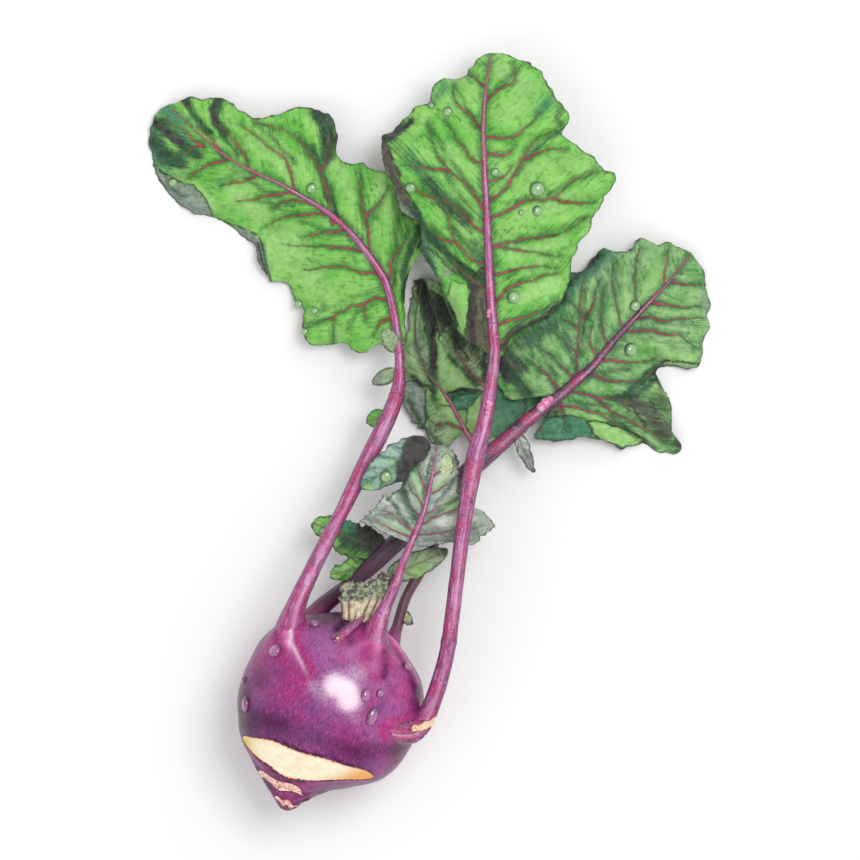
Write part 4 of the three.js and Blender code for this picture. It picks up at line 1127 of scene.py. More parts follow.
def stalk_material(name, main, light, dark, gloomy=rgb(52, 28, 50), tip=rgb(140, 96, 80)):
    """Smooth purple skin, streaked along the stalk, with painted shade on its sides and a painted highlight.
    """
    p = Paint(name, main)
    tints = STALK_TINTS
    streak = p.uv_noise(3, 4, 6, 3.5)
    thread = p.uv_noise(7, 3, 10, 8)
    speck = p.noise(0.8, 2)
    p.wash(streak, 0.42, 0.62, 1, light)
    p.wash(p.noise(9, 3), 0.44, 0.6, 0.75, tints["crimson"])
    p.wash(thread, 0.48, 0.62, 0.85, dark)
    # Painted shade on the sides and underside.
    p.tint(p.times(p.field("flank"), p.ramp(thread, 0.3, 0.6, 0.7, 1)), dark)
    # A painted highlight line along the stalk.
    p.tint(p.field("sheen_line"), p.mix(0.62, light, tints["sheen"]))
    p.wash(speck, 0.6, 0.7, 0.6, tints["speck"])
    p.wash(speck, 0.4, 0.3, 0.4, dark)
    p.tint(p.times(p.field("leafy"), p.ramp(thread, 0.3, 0.6, 0.6, 1)), tip)
    # Painted shadow over the foot end of some stalks.
    p.tint(p.field("gloom"), gloomy)
    p.tint(p.field("base"), tints["base"])
    p.tint(p.field("ring"), tints["ring"])
    torn = p.field("torn")
    p.wash(torn, 0.2, 0.36, 1, tints["torn edge"])
    p.wash(torn, 0.4, 0.5, 1, tints["torn skin"])
    p.wash(torn, 0.5, 0.72, 1, tints["torn flesh"])
    p.tint(p.times(p.ramp(torn, 0.3, 0.5), p.ramp(speck, 0.5, 0.62, 0, 0.75)), tints["scratch"])
    normal = p.bump(thread, 0.45, 0.3, p.bump(speck, 0.2, 0.15))
    return p.finish(p.ramp(streak, 0.3, 0.7, 0.36, 0.5), normal, Coat_Weight=0.3, Coat_Roughness=0.3)


# Patches on a blade: where each eases in, from and to, its most, and its two colours. The light
# patches are painted light on folds and puffs, the dark green, teal, wine-dark and near-black ones
# painted shade, and the grey ones the underside's colour.
PATCHES = {
    "glow": (0.05, 0.85, 0.85, rgb(164, 208, 130), rgb(140, 196, 104)),
    "teal": (0.1, 0.7, 0.9, rgb(44, 106, 84), rgb(78, 140, 104)),
    "ash": (0.2, 0.7, 0.9, rgb(148, 158, 150), rgb(112, 128, 116)),
    "wine": (0.15, 0.75, 0.92, rgb(72, 44, 52), rgb(96, 96, 68)),
    "shade": (0.05, 0.9, 0.95, rgb(26, 56, 42), rgb(48, 86, 54)),
    "soot": (0.1, 0.8, 0.95, rgb(36, 32, 38), rgb(64, 60, 60)),
}
BLADE_TINTS = {
    "crease": rgb(34, 48, 40), "vein knot": rgb(108, 40, 58), "vein tip": rgb(226, 104, 72),
    "vein in shade": rgb(74, 30, 42), "vein root": rgb(140, 44, 82), "vein edge": rgb(72, 32, 42),
    "margin": rgb(70, 66, 64),
}


# Greens of the blades: main, light and deep green, the veins' red, and how strong the strokes are.
# A name stands for a colour that a user may change.
BLADE_LOOKS = {
    "fresh_blade": ("leaf", rgb(140, 202, 100), rgb(40, 112, 46), rgb(190, 70, 72), 1),
    "muted_blade": (rgb(92, 160, 76), rgb(148, 190, 126), rgb(40, 98, 58), rgb(168, 66, 82), 1),
    "dark_blade": (rgb(106, 150, 90), rgb(162, 190, 140), rgb(48, 72, 52), rgb(190, 108, 104), 1),
    "grey_blade": ("grey_leaf", rgb(200, 206, 196), rgb(102, 126, 112), rgb(186, 78, 116), 0.7),
    "pale_blade": (rgb(158, 184, 138), rgb(190, 206, 170), rgb(104, 140, 96), rgb(170, 150, 110), 1),
    "teal_blade": (rgb(112, 156, 134), rgb(150, 184, 164), rgb(50, 86, 78), rgb(100, 130, 110), 1),
    "cream_blade": (rgb(206, 216, 168), rgb(228, 234, 200), rgb(156, 176, 120), rgb(190, 190, 140), 0.6),
    "blade_underside": (rgb(140, 160, 134), rgb(176, 192, 166), rgb(104, 126, 104), rgb(170, 110, 120), 0.6),
}


def brush_greens(p, strokes, light, deep, contrast):
    """Lays light and deep greens in clouds and brush strokes, with painted shade in the furrows by the veins.
    """
    stroke, brush, speckle = strokes
    p.wash(p.noise(17, 4), 0.36, 0.62, 1, light)
    p.wash(p.noise(7, 4), 0.54, 0.7, 0.6 * contrast, deep)
    p.wash(p.noise(8, 3), 0.5, 0.34, 0.55 * contrast, light)
    # Painted shade in the furrows by the veins.
    p.tint(p.times(p.ramp(p.field("puff"), 3.6, 0.2, 0, 0.8), p.ramp(brush, 0.3, 0.6, 0.5, 1)), deep)
    p.wash(stroke, 0.53, 0.7, 0.6 * contrast, deep)
    p.wash(stroke, 0.47, 0.3, 0.6 * contrast, light)
    p.wash(brush, 0.53, 0.68, 0.45, deep)
    p.wash(speckle, 0.46, 0.3, 0.4, light)
    line = p.math("ABSOLUTE", p.math("SUBTRACT", p.vein_noise(2, 7, 26), 0.5))
    drawn = p.ramp(p.noise(9, 2), 0.47, 0.53)
    p.tint(p.times(p.ramp(line, 0.0, 0.012, 0.75 * contrast, 0), drawn), deep)
    beside = p.times(p.ramp(line, 0.012, 0.03, 0.35, 0), p.ramp(line, 0.006, 0.012))
    p.tint(p.times(beside, drawn), light)


def draw_veins(p, brush, deep, flush):
    """Draws the side veins: red at the root, orange at the tip, darker in the painted shade, with painted
    shade in a furrow and along each side.
    """
    tints = BLADE_TINTS
    vein = p.field("vein")
    knots = p.ramp(p.noise(3.2, 3), 0.4, 0.62)
    # Painted shade in the furrow along each vein.
    p.tint(p.times(p.ramp(vein, 4.5, 1.6, 0, 0.55), p.ramp(brush, 0.3, 0.6, 0.5, 1)), deep)
    red = p.mix(p.times(knots, 0.7), flush, tints["vein knot"])
    thin = p.mix(0.6, p.colour, p.mix(0.5, flush, tints["vein tip"]))
    core = p.mix(p.ramp(p.field("flush"), 0.3, 0.75), thin, red)
    for patch in ("shade", "soot"):
        core = p.mix(p.ramp(p.field(patch), 0.2, 0.8, 0, 0.55), core, tints["vein in shade"])
    core = p.mix(p.ramp(p.field("flush"), 0.75, 1, 0, 0.8), core, tints["vein root"])
    # Painted shadow along each side of a vein.
    p.wash(vein, 2.1, 1.1, 0.85, p.mix(0.5, deep, tints["vein edge"]))
    p.wash(vein, 1.25, 0.7, 1, core)


def blade_material(look):
    """A leaf face in brushed greens with painted light and shade, painted shade in its furrows, red veins and
    a dark margin.
    """
    green, light, deep, flush, contrast = BLADE_LOOKS[look]
    green = tuple(getattr(colours(), green)) if isinstance(green, str) else green
    p = Paint(f"kohlrabi_{look}", green)
    brush = p.noise(2.6, 4)
    speckle = p.noise(0.9, 3)
    stroke = p.vein_noise(3, 1.6, 9)
    brush_greens(p, (stroke, brush, speckle), light, deep, contrast)
    strokes = p.math("ADD", p.ramp(stroke, 0.38, 0.6, 0.0, 0.5), p.ramp(speckle, 0.4, 0.6, 0.0, 0.5))
    # Patches of painted light and painted shade, and grey patches of the underside.
    for patch, (start, stop, most, tint, fleck) in PATCHES.items():
        worn = p.frayed(p.field(patch), strokes, 0, 1, -0.14, 0.1)
        p.wash(worn, start, stop, most, p.mix(p.ramp(brush, 0.36, 0.62), tint, fleck))
    # Painted shadow lines along the crisp patches' outlines.
    crease = p.times(p.ramp(p.field("crease"), 0.15, 0.8, 0, 0.85), p.ramp(brush, 0.35, 0.55, 0.4, 1))
    p.tint(crease, BLADE_TINTS["crease"])
    draw_veins(p, brush, deep, flush)
    rim = p.frayed(p.field("margin"), brush, 0.35, 0.65, -0.5, 0.5)
    p.wash(rim, 1.2, 0.3, 0.8, BLADE_TINTS["margin"])
    normal = p.bump(p.ramp(stroke, 0.3, 0.7), 0.35, 0.3, p.bump(brush, 0.35, 0.35))
    return p.finish(p.ramp(brush, 0.3, 0.7, 0.42, 0.58), normal, Specular_IOR_Level=0.35)


HEART_TINTS = {
    "cream": rgb(226, 212, 188), "tan": rgb(176, 172, 138), "green": rgb(160, 172, 140),
    "olive": rgb(96, 114, 86), "purple": rgb(76, 56, 72), "rib": rgb(112, 52, 58),
    "margin": rgb(92, 72, 74),
}


def blade_materials(look):
    """The material of a blade's upper side and that of its underside, each made when first asked for."""
    names = (f"{look}_blade", "blade_underside")
    return [bpy.data.materials.get(f"kohlrabi_{name}") or blade_material(name) for name in names]


def heart_material():
    """Cream pleats with red-brown ribs below, and a grey-green frill above."""
    tints = HEART_TINTS
    p = Paint("kohlrabi_heart_blade", tints["cream"])
    p.wash(p.noise(2.4, 3), 0.4, 0.62, 1, tints["tan"])
    frill = p.mix(p.ramp(p.noise(2, 4), 0.42, 0.6), tints["green"], tints["olive"])
    frill = p.mix(p.ramp(p.noise(4, 4), 0.48, 0.6, 0, 0.9), frill, tints["purple"])
    p.tint(p.field("frill"), frill)
    p.tint(p.field("rib"), tints["rib"])
    p.wash(p.field("margin"), 0.8, 0.1, 0.8, tints["margin"])
    return p.finish(0.5, p.bump(p.noise(1.2, 3), 0.4, 0.4), Specular_IOR_Level=0.4)


def water_material(name, heart, edge):
    """Water painted in the colour that shows through it, with painted shade round its edge."""
    p = Paint(name, heart)
    # Painted shade round the edge of the drop.
    p.wash(p.field("rim"), 0.5, 1.12, 1, edge)
    return p.finish(0.05, IOR=1.36, Transmission_Weight=0.35, Coat_Weight=1.0, Coat_IOR=1.8,
                    Coat_Roughness=0.06)


# ---- the bulb ----
def bulb_axes():
    """The bulb's axis from its root to its crown, and the direction across it."""
    lean = sizes().bulb_lean
    along = np.array([math.sin(lean), math.cos(lean), 0])
    across = np.array([math.cos(lean), -math.sin(lean), 0])
    return along, across


def bulb_centre_height():
    widest_radius = max(radius for _, radius in BULB_PROFILE)
    return math.sqrt(widest_radius**2 - (sizes().flat_spot_radius / MM) ** 2)


def root_sway(along):
    """Sideways bend of the root cone, at a distance from its tip."""
    return -ROOT_SWAY * np.sin(math.pi * np.clip(along / ROOT_LENGTH, 0, 1)) ** 1.5


def bulb_surface(angle, u):
    """Places on the plain bulb, the direction out of it, the distance from the root tip and the radius."""
    along, radius = by_length(BULB_PROFILE, u).T
    radius = np.where((u < 1e-6) | (u > 1 - 1e-6), 0, np.maximum(radius, 0))
    axis, across = bulb_axes()
    out = np.cos(angle)[:, None] * UP + np.sin(angle)[:, None] * across
    middle = (along - sizes().widest / MM)[:, None] * axis + root_sway(along)[:, None] * across
    middle[:, 2] += bulb_centre_height()
    return middle + radius[:, None] * out, out, along, radius


def bulb_gap(points):
    """Distance of each point outside the plain bulb, negative inside it."""
    axis, across = bulb_axes()
    local = points - bulb_centre_height() * UP
    along = local @ axis + sizes().widest / MM
    local = local - root_sway(along)[:, None] * across
    radius = np.linalg.norm(local - (local @ axis)[:, None] * axis, axis=1)
    profile = by_length(BULB_PROFILE, np.linspace(0, 1, PROFILE_STEPS))
    gap = line_gap(np.stack([along, radius], 1), profile)
    inside = radius < np.interp(along, *profile.T, 0, 0)
    return np.where(inside, -gap, gap)


def cut_at(along, angle, middle, climb, wave, half, reach, turn):
    """A lens-shaped cut on the upper side: 1 along its middle, 0 at its edge, less outside."""
    wave_height, wave_count = wave
    middle = middle + climb * np.maximum(0, np.sin(angle)) ** 1.6 + wave_height * np.sin(angle * wave_count)
    across = np.degrees(angle) - turn
    across = np.where(across < 0, across / reach[0], across / reach[1])
    width = half * np.maximum(1 - across**2, 1e-3) ** 1.2
    height = 1 - ((along - middle) / width) ** 2
    return np.minimum(height, 12 * (1 - np.abs(across))).clip(-3, 1)


def ridges_at(points, ridges):
    """Height of ridges, the pink line on top, the furrows beside them where shade is painted, and a painted
    glint along one side.
    """
    height, crest, furrow, glint = np.zeros((4, len(points)))
    for start, end, rise, reach in ridges:
        start, end = np.array(start, float), np.array(end, float)
        f, gap = to_stretch(points, start, end)
        gap = gap / reach
        rise = rise * (1 - 0.5 * f)
        height = np.maximum(height, rise * (0.55 * hump(gap) + 0.45 * hump(gap, 0.5)))
        crest = np.maximum(crest, hump(gap, 0.38) * (1 - 0.4 * f))
        furrow = np.maximum(furrow, hump(gap - 0.95, 0.35))
        line, offset = end - start, points - start
        beside = (offset[:, 1] * line[0] - offset[:, 0] * line[1]) / math.hypot(line[0], line[1])
        glint = np.maximum(glint, hump(gap, 0.7) * hump(beside - 1.8, 0.8) * (1 - 0.5 * (1 - f) ** 6))
    return height, crest, furrow * (1 - crest), glint


def fillet(gap, reach):
    """Rise of a smooth joint, at a distance from the other surface."""
    return reach / 4 * np.clip(1 - gap / reach, 0, 1.2) ** 2


def stalk_foot(leaf):
    """The stretch of a stalk that meets the bulb, as places with a radius."""
    return catmull_rom(leaf["route"], np.linspace(0, FOOT_STRETCH / (len(leaf["route"]) - 1), 30))


def leaf_bases(points):
    """Rise of the smooth joints with the stalks, and the blush round them."""
    flare, blush = np.zeros((2, len(points)))
    for leaf in LEAVES:
        gap = tube_gap(points, stalk_foot(leaf))
        flare = np.maximum(flare, fillet(gap, leaf["foot"]))
        blush = np.maximum(blush, np.clip(1 - gap / (leaf["foot"] * 1.3), 0, 1) ** 1.5)
    return flare, blush


class OBJECT_OT_kohlrabi_bulb(bpy.types.Operator):
    """Build the bulb with its root cone, leaf bases and pared band"""

    bl_idname = "object.kohlrabi_bulb"
    bl_label = "Bulb"

    def execute(self, context):
        piece, v, u = shaped_grid("bulb_flesh", *BULB_GRID)
        angle = v * math.pi
        plain, out, along, radius = bulb_surface(angle, u)
        paring, stripe, scrape = (cut_at(along, angle, *cut) for cut in (PARING, STRIPE, SCRAPE))
        bite = sizes().paring_depth / MM * np.sqrt(np.clip(paring, 0, 1))
        bite += STRIPE_DEPTH * np.sqrt(np.clip(stripe, 0, 1))
        root = smooth(*ROOT_ZONE, along)
        crown = smooth(*CROWN_ZONE, along)
        dents = layered(angle * 14, along, DENTS[0]) + layered(angle * 30, along, DENTS[1])
        dents += root * layered(angle * 12, along, (1.3, 3, 5))
        dents += root * layered(angle * 6, along, (0.5, 1.5, 6))
        flare, base = leaf_bases(plain)
        ridges, crest, furrow, glint = ridges_at(plain, RIDGES)
        web, web_crest, web_furrow, _ = ridges_at(plain, WEBS)
        crest = np.maximum(crest, 0.5 * web_crest)
        furrow = np.maximum(furrow, 0.5 * web_furrow)
        swell = (np.maximum(ridges, web) ** 3 + flare**3) ** (1 / 3)
        grooves = -0.6 * crown * (1 + np.cos(angle * 7 + 1)) / 2
        body = np.minimum(1, radius / 12)
        points = plain + (swell + body * (0.8 * dents + grooves) - bite)[:, None] * out
        points[:, 2] = np.maximum(points[:, 2], 0)
        set_points(piece, points)

        x, y = plain[:, :2].T
        side, height = np.sin(angle), np.cos(angle)
        above = smooth(-0.1, 0.3, height)
        # Pale marks, one of them a painted halo of light round the highlight.
        pale = above * mark_field(plain, BULB_PALE)
        # Painted shade on the sides, on the underside and in the furrows beside the ridges, added to the
        # darker root cone, the dark marks and random tone.
        dusk = 0.5 * root + 0.3 * smooth(0.75, 1, np.abs(side)) + 0.3 * smooth(0.1, -0.4, height)
        dusk += 0.2 * smooth(-0.35, -1, side) * smooth(64, 34, along)
        dusk += 0.3 * smooth(0.3, 1, side) * smooth(52, 30, along)
        dusk += 0.35 * furrow * smooth(60, 75, along)
        dusk += above * mark_field(plain, BULB_DARK) - 0.3 * pale
        dusk += 0.25 * soft_noise(x, y, 12, 8) * smooth(90, 60, along)
        blush = 0.8 * base + 0.6 * furrow + above * mark_field(plain, BULB_MAGENTA)
        blush += root * (0.6 + 0.5 * soft_noise(angle * 10, along, 4, 9))
        violet = 0.6 * crown * smooth(-0.2, 0.5, height) * (0.6 + 0.4 * soft_noise(x, y, 9, 11)) + pale
        note(piece, paring=np.maximum.reduce([paring, stripe, scrape]), blush=np.clip(blush, 0, 0.9),
             crest=np.clip(crest * smooth(66, 80, along) * 0.9, 0, 0.9),
             # A painted glint along one side of the ridges.
             glint=np.clip(glint * smooth(64, 78, along) * smooth(0.2, -0.2, side), 0, 0.9),
             # A painted highlight where the light's reflection falls.
             bloom=np.clip(above * mark_field(plain, BULB_BLOOM), 0, 0.8),
             violet=np.clip(violet, 0, 0.8), dusk=np.clip(dusk, 0, 0.85),
             # Painted shade in the hollows at the crown.
             hollow=0.95 * mark_field(plain, CROWN_HOLLOWS), scrape=smooth(17, 14, along) * 0.9,
             olive=smooth(-35, -75, np.degrees(angle)) * smooth(16, 20, along),
             orange=smooth(28, 52, np.degrees(angle)) * smooth(18, 24, along))
        close_up(piece)
        finish_piece(piece, [bulb_material()], "bulb_skin", "bulb")
        return {"FINISHED"}


# ---- stalks ----
def stalk_points(stalk, v, u):
    """Points of a stalk whose ends are round, with fine ridges along it and a flared or pleated foot."""
    route = stalk["route"]
    centre, radius, side, up = route_at(route, u)
    angle = v * math.pi
    first = np.clip(u / STALK_CAP, 0, 1)
    last = np.clip((1 - u) / STALK_CAP, 0, 1)
    ends = np.sqrt(1 - (1 - first) ** 2) * np.sqrt(1 - (1 - last) ** 2)
    relief = 1 + sum(height * np.cos(count * angle + turn) for height, count, turn in STALK_RIDGES)
    walk = u * STALK_WALK
    relief += layered(walk, angle, (0.035, 9, 21)) + layered(walk, angle * 3, (0.02, 3, 22))
    for place in stalk.get("rings", ()):
        relief += 0.1 * hump(u - place, 0.003)
    if "tears" in stalk:
        pleats = sum(height * np.cos(count * angle + turn) for height, count, turn in HEEL_PLEATS)
        relief += smooth(*PLEATED, u * (len(route) - 1)) * pleats
    direction = np.sin(angle)[:, None] * side + np.cos(angle)[:, None] * up
    size = radius * ends * relief * (1 - 0.4 * smooth(0.65, 1, u))
    points = centre + size[:, None] * direction
    if "foot" in stalk and "tears" not in stalk:
        flare = fillet(np.maximum(bulb_gap(points), 0), stalk["foot"]) * ends
        points = centre + (size + flare)[:, None] * direction
    return points


def tear_foot(points, stalk, u):
    """Roughens a torn foot in its place, and returns how torn each point is."""
    torn = mark_field(points, stalk["tears"])
    x, y, z = points.T
    ragged = soft_noise(x, y, 2.2, 31) + 0.5 * soft_noise(y, z, 1.1, 32)
    share = smooth(*RAGGED, u * (len(stalk["route"]) - 1))
    points += (0.5 * share * ragged)[:, None] * RAG_DIRECTION
    return torn + 0.35 * soft_noise(points[:, 0], points[:, 1], 1.4, 33)


def add_stalk(name, stalk, rows, slot, material, node):
    """Adds one stalk, with the fields that its material reads."""
    piece, v, u = shaped_grid(name, STALK_COLUMNS, rows)
    points = stalk_points(stalk, v, u)
    torn, gloom, base, leafy = np.zeros((4, len(u)))
    if "tears" in stalk:
        torn = tear_foot(points, stalk, u)
    elif "foot" in stalk:
        base = 0.75 * np.clip(1 - bulb_gap(points) / FOOT_BLUSH, 0, 1)
    set_points(piece, points)
    across, height = np.sin(v * math.pi), np.cos(v * math.pi)
    # Painted shade on the sides and underside.
    flank = smooth(0.62, 1, np.abs(across)) * 0.8 + smooth(0.1, -0.5, height) * 0.4
    foot_end = smooth(0.12, 0.02, u)
    # A painted highlight line along the upper side, stronger at the foot.
    sheen = hump(across - 0.25 - 0.1 * foot_end, 0.16) * smooth(0, 0.3, height)
    sheen *= 0.35 + 0.8 * foot_end + 0.35 * soft_noise(u * STALK_WALK, across, 12, 41)
    ring = sum((hump(u - place - 0.002, 0.0012) for place in stalk.get("rings", ())), 0 * u)
    # Painted shadow from the foot as far as gloom_to.
    if "gloom_to" in stalk:
        gloom = 0.85 * smooth(stalk["gloom_to"] + 0.1, stalk["gloom_to"] - 0.06, u)
    if "leafy" in stalk:
        start, most = stalk["leafy"]
        leafy = most * smooth(start, start + 0.2, u)
    note(piece, flank=np.clip(flank, 0, 0.9), sheen_line=np.clip(sheen, 0, 1), torn=torn,
         ring=np.clip(ring, 0, 0.8), base=base, gloom=gloom, leafy=leafy)
    close_up(piece)
    finish_piece(piece, [material], slot, node)


class OBJECT_OT_kohlrabi_stalks(bpy.types.Operator):
    """Build the leaf stalks with their midribs"""

    bl_idname = "object.kohlrabi_stalks"
    bl_label = "Stalks"

    def execute(self, context):
        stalk = tuple(colours().stalk)
        bright = stalk_material("kohlrabi_bright_stalk", stalk, rgb(204, 134, 182), rgb(78, 26, 70))
        deep = stalk_material("kohlrabi_deep_stalk", rgb(88, 40, 76), rgb(124, 72, 106), rgb(46, 20, 42))
        dusky = stalk_material("kohlrabi_dusky_stalk", rgb(168, 84, 104), rgb(196, 120, 132),
                               rgb(84, 40, 56), rgb(72, 40, 62), rgb(78, 92, 66))
        looks = {"back_leaf": dusky, "right_leaf": deep}
        for leaf in LEAVES:
            name = leaf["name"]
            look = looks.get(name, bright)
            add_stalk(f"{name}_petiole", leaf, STALK_ROWS, "stalk_skin", look, f"{name}_stalk")
        return {"FINISHED"}


# ---- blades ----
def edge_height(side, u):
    """Height of a blade's edge: a curve from start to end, with waves on it."""
    start, middle, end = side["lift"]
    height, count, phase = side["wave"]
    level = start * (1 - u) ** 2 + 2 * middle * u * (1 - u) + end * u**2
    return level + height * np.sin(2 * math.pi * count * u + phase) * np.sin(math.pi * u).clip(0) ** 0.5


def vein_fields(leaf, xy):
    """For each point: distance to the nearest side vein, the same in vein widths, and its redness."""
    x, y = xy.T
    xy = xy + np.stack([layered(x, y, (0.6, 5, 91), (0.25, 2, 92), (0.15, 1.3, 95)),
                        layered(x, y, (0.6, 5, 93), (0.25, 2, 94), (0.15, 1.3, 96))], 1)
    nearest, ratio = np.full((2, len(xy)), FAR)
    red = np.zeros(len(xy))
    for vein in leaf["veins"]:
        width = leaf.get("vein_width", 1) * (MAIN_VEIN if len(vein) > 2 else SHORT_VEIN)
        t = np.linspace(0, 1, 6 * len(vein))
        line = catmull_rom(vein, t)
        for a, b, ta, tb in zip(line[:-1], line[1:], t[:-1], t[1:]):
            f, gap = to_stretch(xy, a, b)
            along = ta + (tb - ta) * f
            widths = gap / (width * (1 - 0.65 * along))
            closer = widths < ratio
            ratio = np.where(closer, widths, ratio)
            red = np.where(closer, 1 - 0.75 * along, red)
            nearest = np.minimum(nearest, gap)
    return nearest, ratio, red


def blade_points(leaf, u, v):
    """Places of a blade's points, their distance from its margin, and the midrib's radius and centre."""
    start = leaf["blade_from"] / (len(leaf["route"]) - 1)
    centre, radius, side, _ = route_at(leaf["route"], start + (1 - start) * u)
    s = np.abs(v)
    sign = np.where(v < 0, -1.0, 1.0)
    inner = centre + side * (sign * 0.35 * radius)[:, None]
    edge = np.empty_like(centre)
    for which, chosen in (("left", v < 0), ("right", v >= 0)):
        edge[chosen, :2] = by_length(leaf[which]["margin"], u[chosen])
        edge[chosen, 2] = edge_height(leaf[which], u[chosen])
    outward = edge[:, :2] - inner[:, :2]
    length = np.linalg.norm(outward, axis=1) + 1e-6
    outward /= length[:, None]
    seed = len(leaf["route"]) * 7 + len(leaf["veins"])
    jag = layered(u * EDGE_WALK * sign, 0 * u, (0.9, 5, seed), (0.45, 2, seed + 1))
    edge[:, :2] += outward * (jag * smooth(0, 0.06, u) * smooth(1, 0.97, u))[:, None]
    points = inner + (edge - inner) * s[:, None]
    points[:, 2] = inner[:, 2] + (edge[:, 2] - inner[:, 2]) * s**1.4
    return points, (1 - s) * length, radius, centre


def relieve(leaf, points, margin, radius, centre, s):
    """Puffs the blade up between its veins, raises the veins and ruffles the margin."""
    xy = points[:, :2]
    x, y = xy.T
    nearest, ratio, red = vein_fields(leaf, xy)
    from_rib = np.linalg.norm(xy - centre[:, :2], axis=1) - radius
    to_any = np.minimum(nearest, np.maximum(from_rib, 0))
    seed = len(leaf["veins"])
    puff = (1 - hump(to_any, PUFF_REACH)) * (PUFF_HEIGHT + layered(x, y, (0.8, 11, seed)))
    crumple = layered(x, y, (0.8, 7, seed + 2), (0.4, 3, seed + 3))
    ruffle = smooth(10, 0, margin) * layered(x, y, (1.5, 6, seed + 4), (0.7, 2.6, seed + 5))
    folds = 0.9 * mark_field(xy, leaf["glow"]) - 1.5 * mark_field(xy, leaf["shade"])
    folds -= 1.2 * mark_field(xy, leaf["ash"]) + 0.8 * crease_field(xy, leaf)
    rise = smooth(0, 6, margin) * (puff + crumple) + ruffle + folds + 0.3 * hump(ratio)
    points[:, 2] += rise * smooth(0, 0.03, s)
    points[:, 2] = np.maximum(points[:, 2], sizes().blade_thickness / MM)
    return to_any, ratio, red


class OBJECT_OT_kohlrabi_blades(bpy.types.Operator):
    """Build the leaf blades with their veins"""

    bl_idname = "object.kohlrabi_blades"
    bl_label = "Blades"

    def execute(self, context):
        for leaf in LEAVES:
            name = leaf["name"]
            piece, v, u = shaped_grid(f"{name}_lamina", *leaf["blade_grid"])
            points, margin, radius, centre = blade_points(leaf, u, v)
            puff, ratio, flush = relieve(leaf, points, margin, radius, centre, np.abs(v))
            set_points(piece, points)
            x, y = points[:, :2].T
            wobble = np.stack([soft_noise(x, y, 4, 15), soft_noise(x, y, 4, 16)], 1)
            brushed = points[:, :2] + 0.8 * wobble
            midrib = np.array(leaf["route"])[leaf["blade_from"]:, :2]
            length = np.linalg.norm(np.diff(midrib, axis=0), axis=1).sum()
            reach = np.linalg.norm(points[:, :2] - centre[:, :2], axis=1)
            note(piece, puff=puff, vein=np.minimum(ratio, VEIN_LIMIT), flush=flush, margin=margin,
                 crease=crease_field(brushed, leaf), grain=u * length - VEIN_SLANT * reach, reach=reach,
                 **{patch: mark_field(brushed, leaf.get(patch, ())) for patch in PATCHES})
            finish_sheet(piece, blade_materials(leaf["look"]), leaf["slot"], f"{name}_blade")
        return {"FINISHED"}


# ---- leaflets ----
def leaflet_points(leaflet, style, u, v):
    """Places of a leaflet's points and its half width: rounder and toothed as its style says."""
    start, end, width, ripple = leaflet
    start, end = np.array(start, float), np.array(end, float)
    along = end - start
    across = np.array([along[1], -along[0], 0]) / math.hypot(along[0], along[1])
    seed = int(width * 10) + int(abs(end[0]))
    walk = u * np.linalg.norm(along)
    outer = smooth(0.3, 1, np.abs(v))
    jag = 1 + style["teeth"] * outer * layered(walk, np.sign(v) * 3, (1, 2.6, seed), (0.5, 1.2, seed + 1))
    oval = np.sin(math.pi * np.clip(u, 0, 1) ** 0.8).clip(0) ** style["round"]
    half = np.maximum(0.5, width * oval) * jag
    points = start + u[:, None] * along + (v * half)[:, None] * across
    points[:, 2] += ripple * v * v * np.sin(5 * math.pi * u + v) - 0.06 * width * v * v
    puff = 0.12 * width * (1 - v * v) * np.sin(math.pi * u)
    frill = style["teeth"] * 5 * outer * soft_noise(walk, v * 3, 3, seed + 2)
    points[:, 2] += puff + frill + 0.25 * soft_noise(points[:, 0], points[:, 1], 2.5, 5)
    return points, half


def add_leaflet(name, leaflet, style, slot, node):
    """Adds one leaflet, with the fields that its material reads."""
    piece, v, u = shaped_grid(name, *LEAFLET_GRID)
    points, half = leaflet_points(leaflet, style, u, v)
    set_points(piece, points)
    s = np.abs(v)
    rib = s * half
    length = np.linalg.norm(np.subtract(leaflet[1], leaflet[0]))
    side_vein = np.abs(np.mod(u * 5 - s * 1.2, 1) - 0.5) * 2
    from_side = (1 - side_vein) * length / 10
    ratio = np.minimum(rib / 0.3, from_side / 0.22 + 0.5 * s) / style["veins"]
    note(piece, puff=np.minimum(rib, from_side) * 1.5, vein=np.minimum(ratio, VEIN_LIMIT),
         flush=0.6 * (1 - s), margin=(1 - s) * half, crease=crease_field(points, style),
         grain=u * length - VEIN_SLANT * rib, reach=rib,
         **{patch: mark_field(points, style.get(patch, ())) for patch in PATCHES})
    finish_sheet(piece, blade_materials(style["look"]), slot, node)


class OBJECT_OT_kohlrabi_leaflets(bpy.types.Operator):
    """Build the leaflets on the stalks and the small leaf's lobe"""

    bl_idname = "object.kohlrabi_leaflets"
    bl_label = "Leaflets"

    def execute(self, context):
        for leaf, leaflets in LEAFLETS.items():
            on_blade = leaf == "small_leaf"
            slot = "leaf_grey" if on_blade else "leaf_green"
            node = f"{leaf}_blade" if on_blade else f"{leaf}_stalk"
            for number, leaflet in enumerate(leaflets, 1):
                style = LEAFLET_STYLES[f"{leaf}_{number}"]
                add_leaflet(f"{leaf}_leaflet_{number}", leaflet, style, slot, node)
        return {"FINISHED"}


